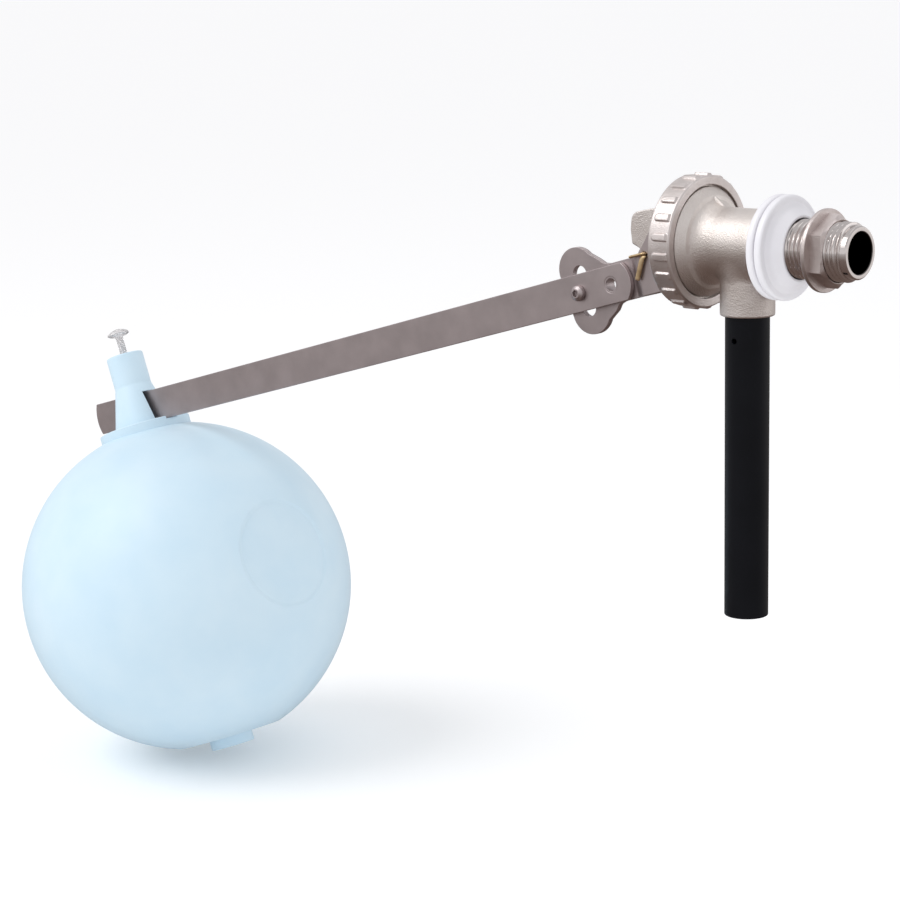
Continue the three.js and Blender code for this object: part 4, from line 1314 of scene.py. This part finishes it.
def thumb_screw():
    """The clear thumb screw on the neck: a mushroom head on a threaded shank."""
    tip, under = 7.43 * MM, 35.1 * MM
    shank_end, top = under - 1.0 * MM, under + 3.2 * MM
    radius, pitch, groove_depth = 1.75 * MM, 0.8 * MM, 0.25 * MM
    shank = resampled(np.array([(tip, radius), (shank_end, radius)]), pitch / 8)
    head = rounded(
        [
            (shank_end, radius),
            (under - 0.3 * MM, 2.1 * MM, 0.5 * MM),
            (under, 3.9 * MM, 0.6 * MM),
            (under + 0.7 * MM, 5.2 * MM, 0.4 * MM),
            (under + 1.6 * MM, 4.8 * MM, 0.7 * MM),
            (under + 2.6 * MM, 3.0 * MM, 0.8 * MM),
            (top, 1.0 * MM, 0.8 * MM),
            (top, 0),
        ]
    )
    profile = np.concatenate([[(tip, 0)], shank, head[1:]])

    def fine_thread(along, out, t):
        """Takes a cosine groove out of the shank, by the phase a / pitch - t / turn."""
        phase = np.mod(along / pitch - t / TURN, 1)
        groove = groove_depth * (0.5 + 0.5 * np.cos(TURN * phase))
        on_shank = (np.abs(out - radius) < 0.01 * MM) & (along < under - 1.2 * MM)
        return np.where(on_shank, out - groove, out)

    place = FLOAT.moved(x=NECK_OFFSET)
    return turned("thumb_screw_head", profile, place, 64, axis="z", relief=fine_thread)


# ---- the valve put together ----

# the sheets' first faces along Y beside the arm, and how far from the middle their inner
# faces lie at the lug
FRONT_PLANE, REAR_PLANE = -1.4 * MM, -0.1 * MM
LUG_PLANE = 3.6 * MM
HUB_RISE = 4.8 * MM  # how far the outer washer's cone rises

# each piece, the body it moves with, its finish and the CAD nodes it stands for
pieces = [
    (valve_body(), "valve", "nickel_cast", "valve_body"),
    (outlet_boss(), "valve", "nickel_cast"),
    (cover_disc(), "valve", "nickel_cast", "cover"),
    (cover_lug(), "valve", "nickel_cast"),
    (ring_nut(), "ring_nut", "nickel_ring", "ring_nut"),
    (lock_nut(), "lock_nut", "nickel_nut", "lock_nut"),
    (washer("wall_washer_inner", "inner_washer", 0), "valve", "white_plastic", "inner_washer"),
    (
        washer("wall_washer_outer", "outer_washer", HUB_RISE),
        "outer_washer",
        "white_plastic",
        "outer_washer",
    ),
    (outlet_tube(), "valve", "black_plastic", "outlet_tube"),
    (piston_stem(), "piston", "acetal", "piston"),
    (split_pin(), "valve", "brass", "split_pin"),
    (
        lever_sheet("lever_front", FRONT_PLANE, -LUG_PLANE - SHEET),
        "lever",
        "stainless",
        "lever_front_sheet",
    ),
    (
        lever_sheet("lever_rear", REAR_PLANE, LUG_PLANE),
        "lever",
        "stainless",
        "lever_rear_sheet",
    ),
    (push_pin(), "lever", "stainless", "push_pin"),
    (arm_rivet(), "lever", "stainless", "arm_rivet"),
    (float_arm(), "arm", "stainless", "float_arm"),
    (clamp_screw(), "arm", "stainless", "clamp_screw"),
    (clamp_washer(), "arm", "stainless", "clamp_washer"),
    (clamp_nut(), "arm", "stainless", "clamp_nut"),
    (float_ball(), "float", "float_blue", "float_ball"),
    (float_neck(), "float", "float_blue"),
    (float_plug(), "float", "float_blue", "float_plug"),
    (thumb_screw(), "thumb_screw", "clear_plastic", "thumb_screw"),
]
shared_slots = {"nickel_ring": "nickel_turned", "nickel_nut": "nickel_turned"}
for piece, body, finish, *nodes in pieces:
    fit(piece, body, finishes[finish], shared_slots.get(finish, finish), *nodes)

inner_finishes = {
    "seat_nozzle": "brass",
    "seat_screw": "brass",
    "nozzle_o_ring": "rubber",
    "cover_gasket": "rubber",
    "piston_o_ring": "rubber",
    "seat_disc": "rubber",
}
for node, finish in inner_finishes.items():
    piece = frame["nodes"][node]
    piece.data.materials.clear()
    piece.data.materials.append(finishes[finish])

# ---- floor, light and camera ----


def floor():
    """A pale floor just under the float, wide enough to fill the view."""
    size, level = 150.0, cad_box[0][2] - 4 * MM
    square = [(-size, -size), (size, -size), (size, size), (-size, size)]
    corners = [(x, y, level) for x, y in square]
    mesh = bpy.data.meshes.new("floor")
    mesh.from_pydata(corners, [], [(0, 1, 2, 3)])
    plane = bpy.data.objects.new("floor", mesh)
    bpy.context.scene.collection.objects.link(plane)
    material, _, shader = new_finish("floor", Roughness=0.9, Base_Color=(0.92, 0.92, 0.92, 1))
    shader.inputs["Specular IOR Level"].default_value = 0.0
    shader.inputs["Emission Color"].default_value = (1, 1, 1, 1)
    shader.inputs["Emission Strength"].default_value = 0.14
    mesh.materials.append(material)
    plane.visible_glossy = False


def sky():
    """Soft studio surroundings: white above the horizon, grey under it, then dark and warm."""
    world = bpy.data.worlds.new("studio")
    bpy.context.scene.world = world
    world.use_nodes = True
    tree = world.node_tree
    background = next(node for node in tree.nodes if node.type == "BACKGROUND")
    coordinates = Field(tree.nodes.new("ShaderNodeTexCoord").outputs["Generated"])
    height = coordinates.node("ShaderNodeSeparateXYZ", {}, {0: coordinates}, output=2)
    share = ramp(height, -1, 1)
    stops = [
        (0.0, (0.2, 0.14, 0.12)),
        (0.3, (0.3, 0.24, 0.22)),
        (0.42, (0.6, 0.57, 0.56)),
        (0.49, (0.8, 0.79, 0.8)),
        (0.497, (1.25, 1.25, 1.26)),
        (0.6, (1.2, 1.2, 1.22)),
        (0.75, (0.9, 0.9, 0.92)),
        (1.0, (0.9, 0.9, 0.92)),
    ]
    colour = share.node("ShaderNodeValToRGB", {}, {0: share}, stops=stops)
    tree.links.new(colour.socket, background.inputs["Color"])
    background.inputs["Strength"].default_value = 0.72


def softbox(name, place, aim, size, power):
    """A square area light at a place, turned to face a point."""
    light = bpy.data.lights.new(name, "AREA")
    light.shape = "RECTANGLE"
    light.size, light.size_y = size
    light.energy = power
    lamp = bpy.data.objects.new(name, light)
    bpy.context.scene.collection.objects.link(lamp)
    back = np.array(place, float) - np.array(aim, float)
    back /= np.linalg.norm(back)
    right = np.cross([0, 0, 1.0], back)
    right /= np.linalg.norm(right)
    up = np.cross(back, right)
    direction = Matrix(np.stack([right, up, back], 1).tolist())
    lamp.matrix_world = Matrix.Translation(place) @ direction.to_4x4()


def sun(name, direction, power, spread):
    """A distant soft light from a direction, as wide in degrees as its spread."""
    light = bpy.data.lights.new(name, "SUN")
    light.energy = power
    light.angle = math.radians(spread)
    lamp = bpy.data.objects.new(name, light)
    bpy.context.scene.collection.objects.link(lamp)
    lamp.matrix_world = Vector(direction).to_track_quat("Z", "Y").to_matrix().to_4x4()


def camera():
    """A long lens in front and to the right, a little above the inlet."""
    place = (0.47448, -0.67108, 0.09490)
    data = bpy.data.cameras.new("camera")
    data.lens, data.sensor_width = 93.22, 36
    data.clip_start, data.clip_end = 0.05, 500
    eye = bpy.data.objects.new("camera", data)
    right = np.array([0.72768, 0.68560, -0.02095])
    up = np.array([-0.12120, 0.15858, 0.97988])
    forward = np.array([-0.67513, 0.71050, -0.19850])
    turn = Matrix(np.stack([right, up, -forward], 1).tolist())
    eye.matrix_world = Matrix.Translation(place) @ turn.to_4x4()
    bpy.context.scene.collection.objects.link(eye)
    bpy.context.scene.camera = eye


floor()
sky()
softbox("key", (-0.7, -1.3, 1.3), (-0.2, 0, -0.05), (1.6, 1.4), 5)
softbox("far side", (1.3, 1.3, 0.1), (0, 0, 0), (1.4, 1.2), 2.2)
softbox("top", (-0.1, 0.4, 1.4), (-0.15, 0, 0), (1.2, 0.8), 2)
sun("window", (-0.45, -0.75, 1.0), 0.85, 40)
camera()
bpy.context.scene.view_settings.view_transform = "Standard"
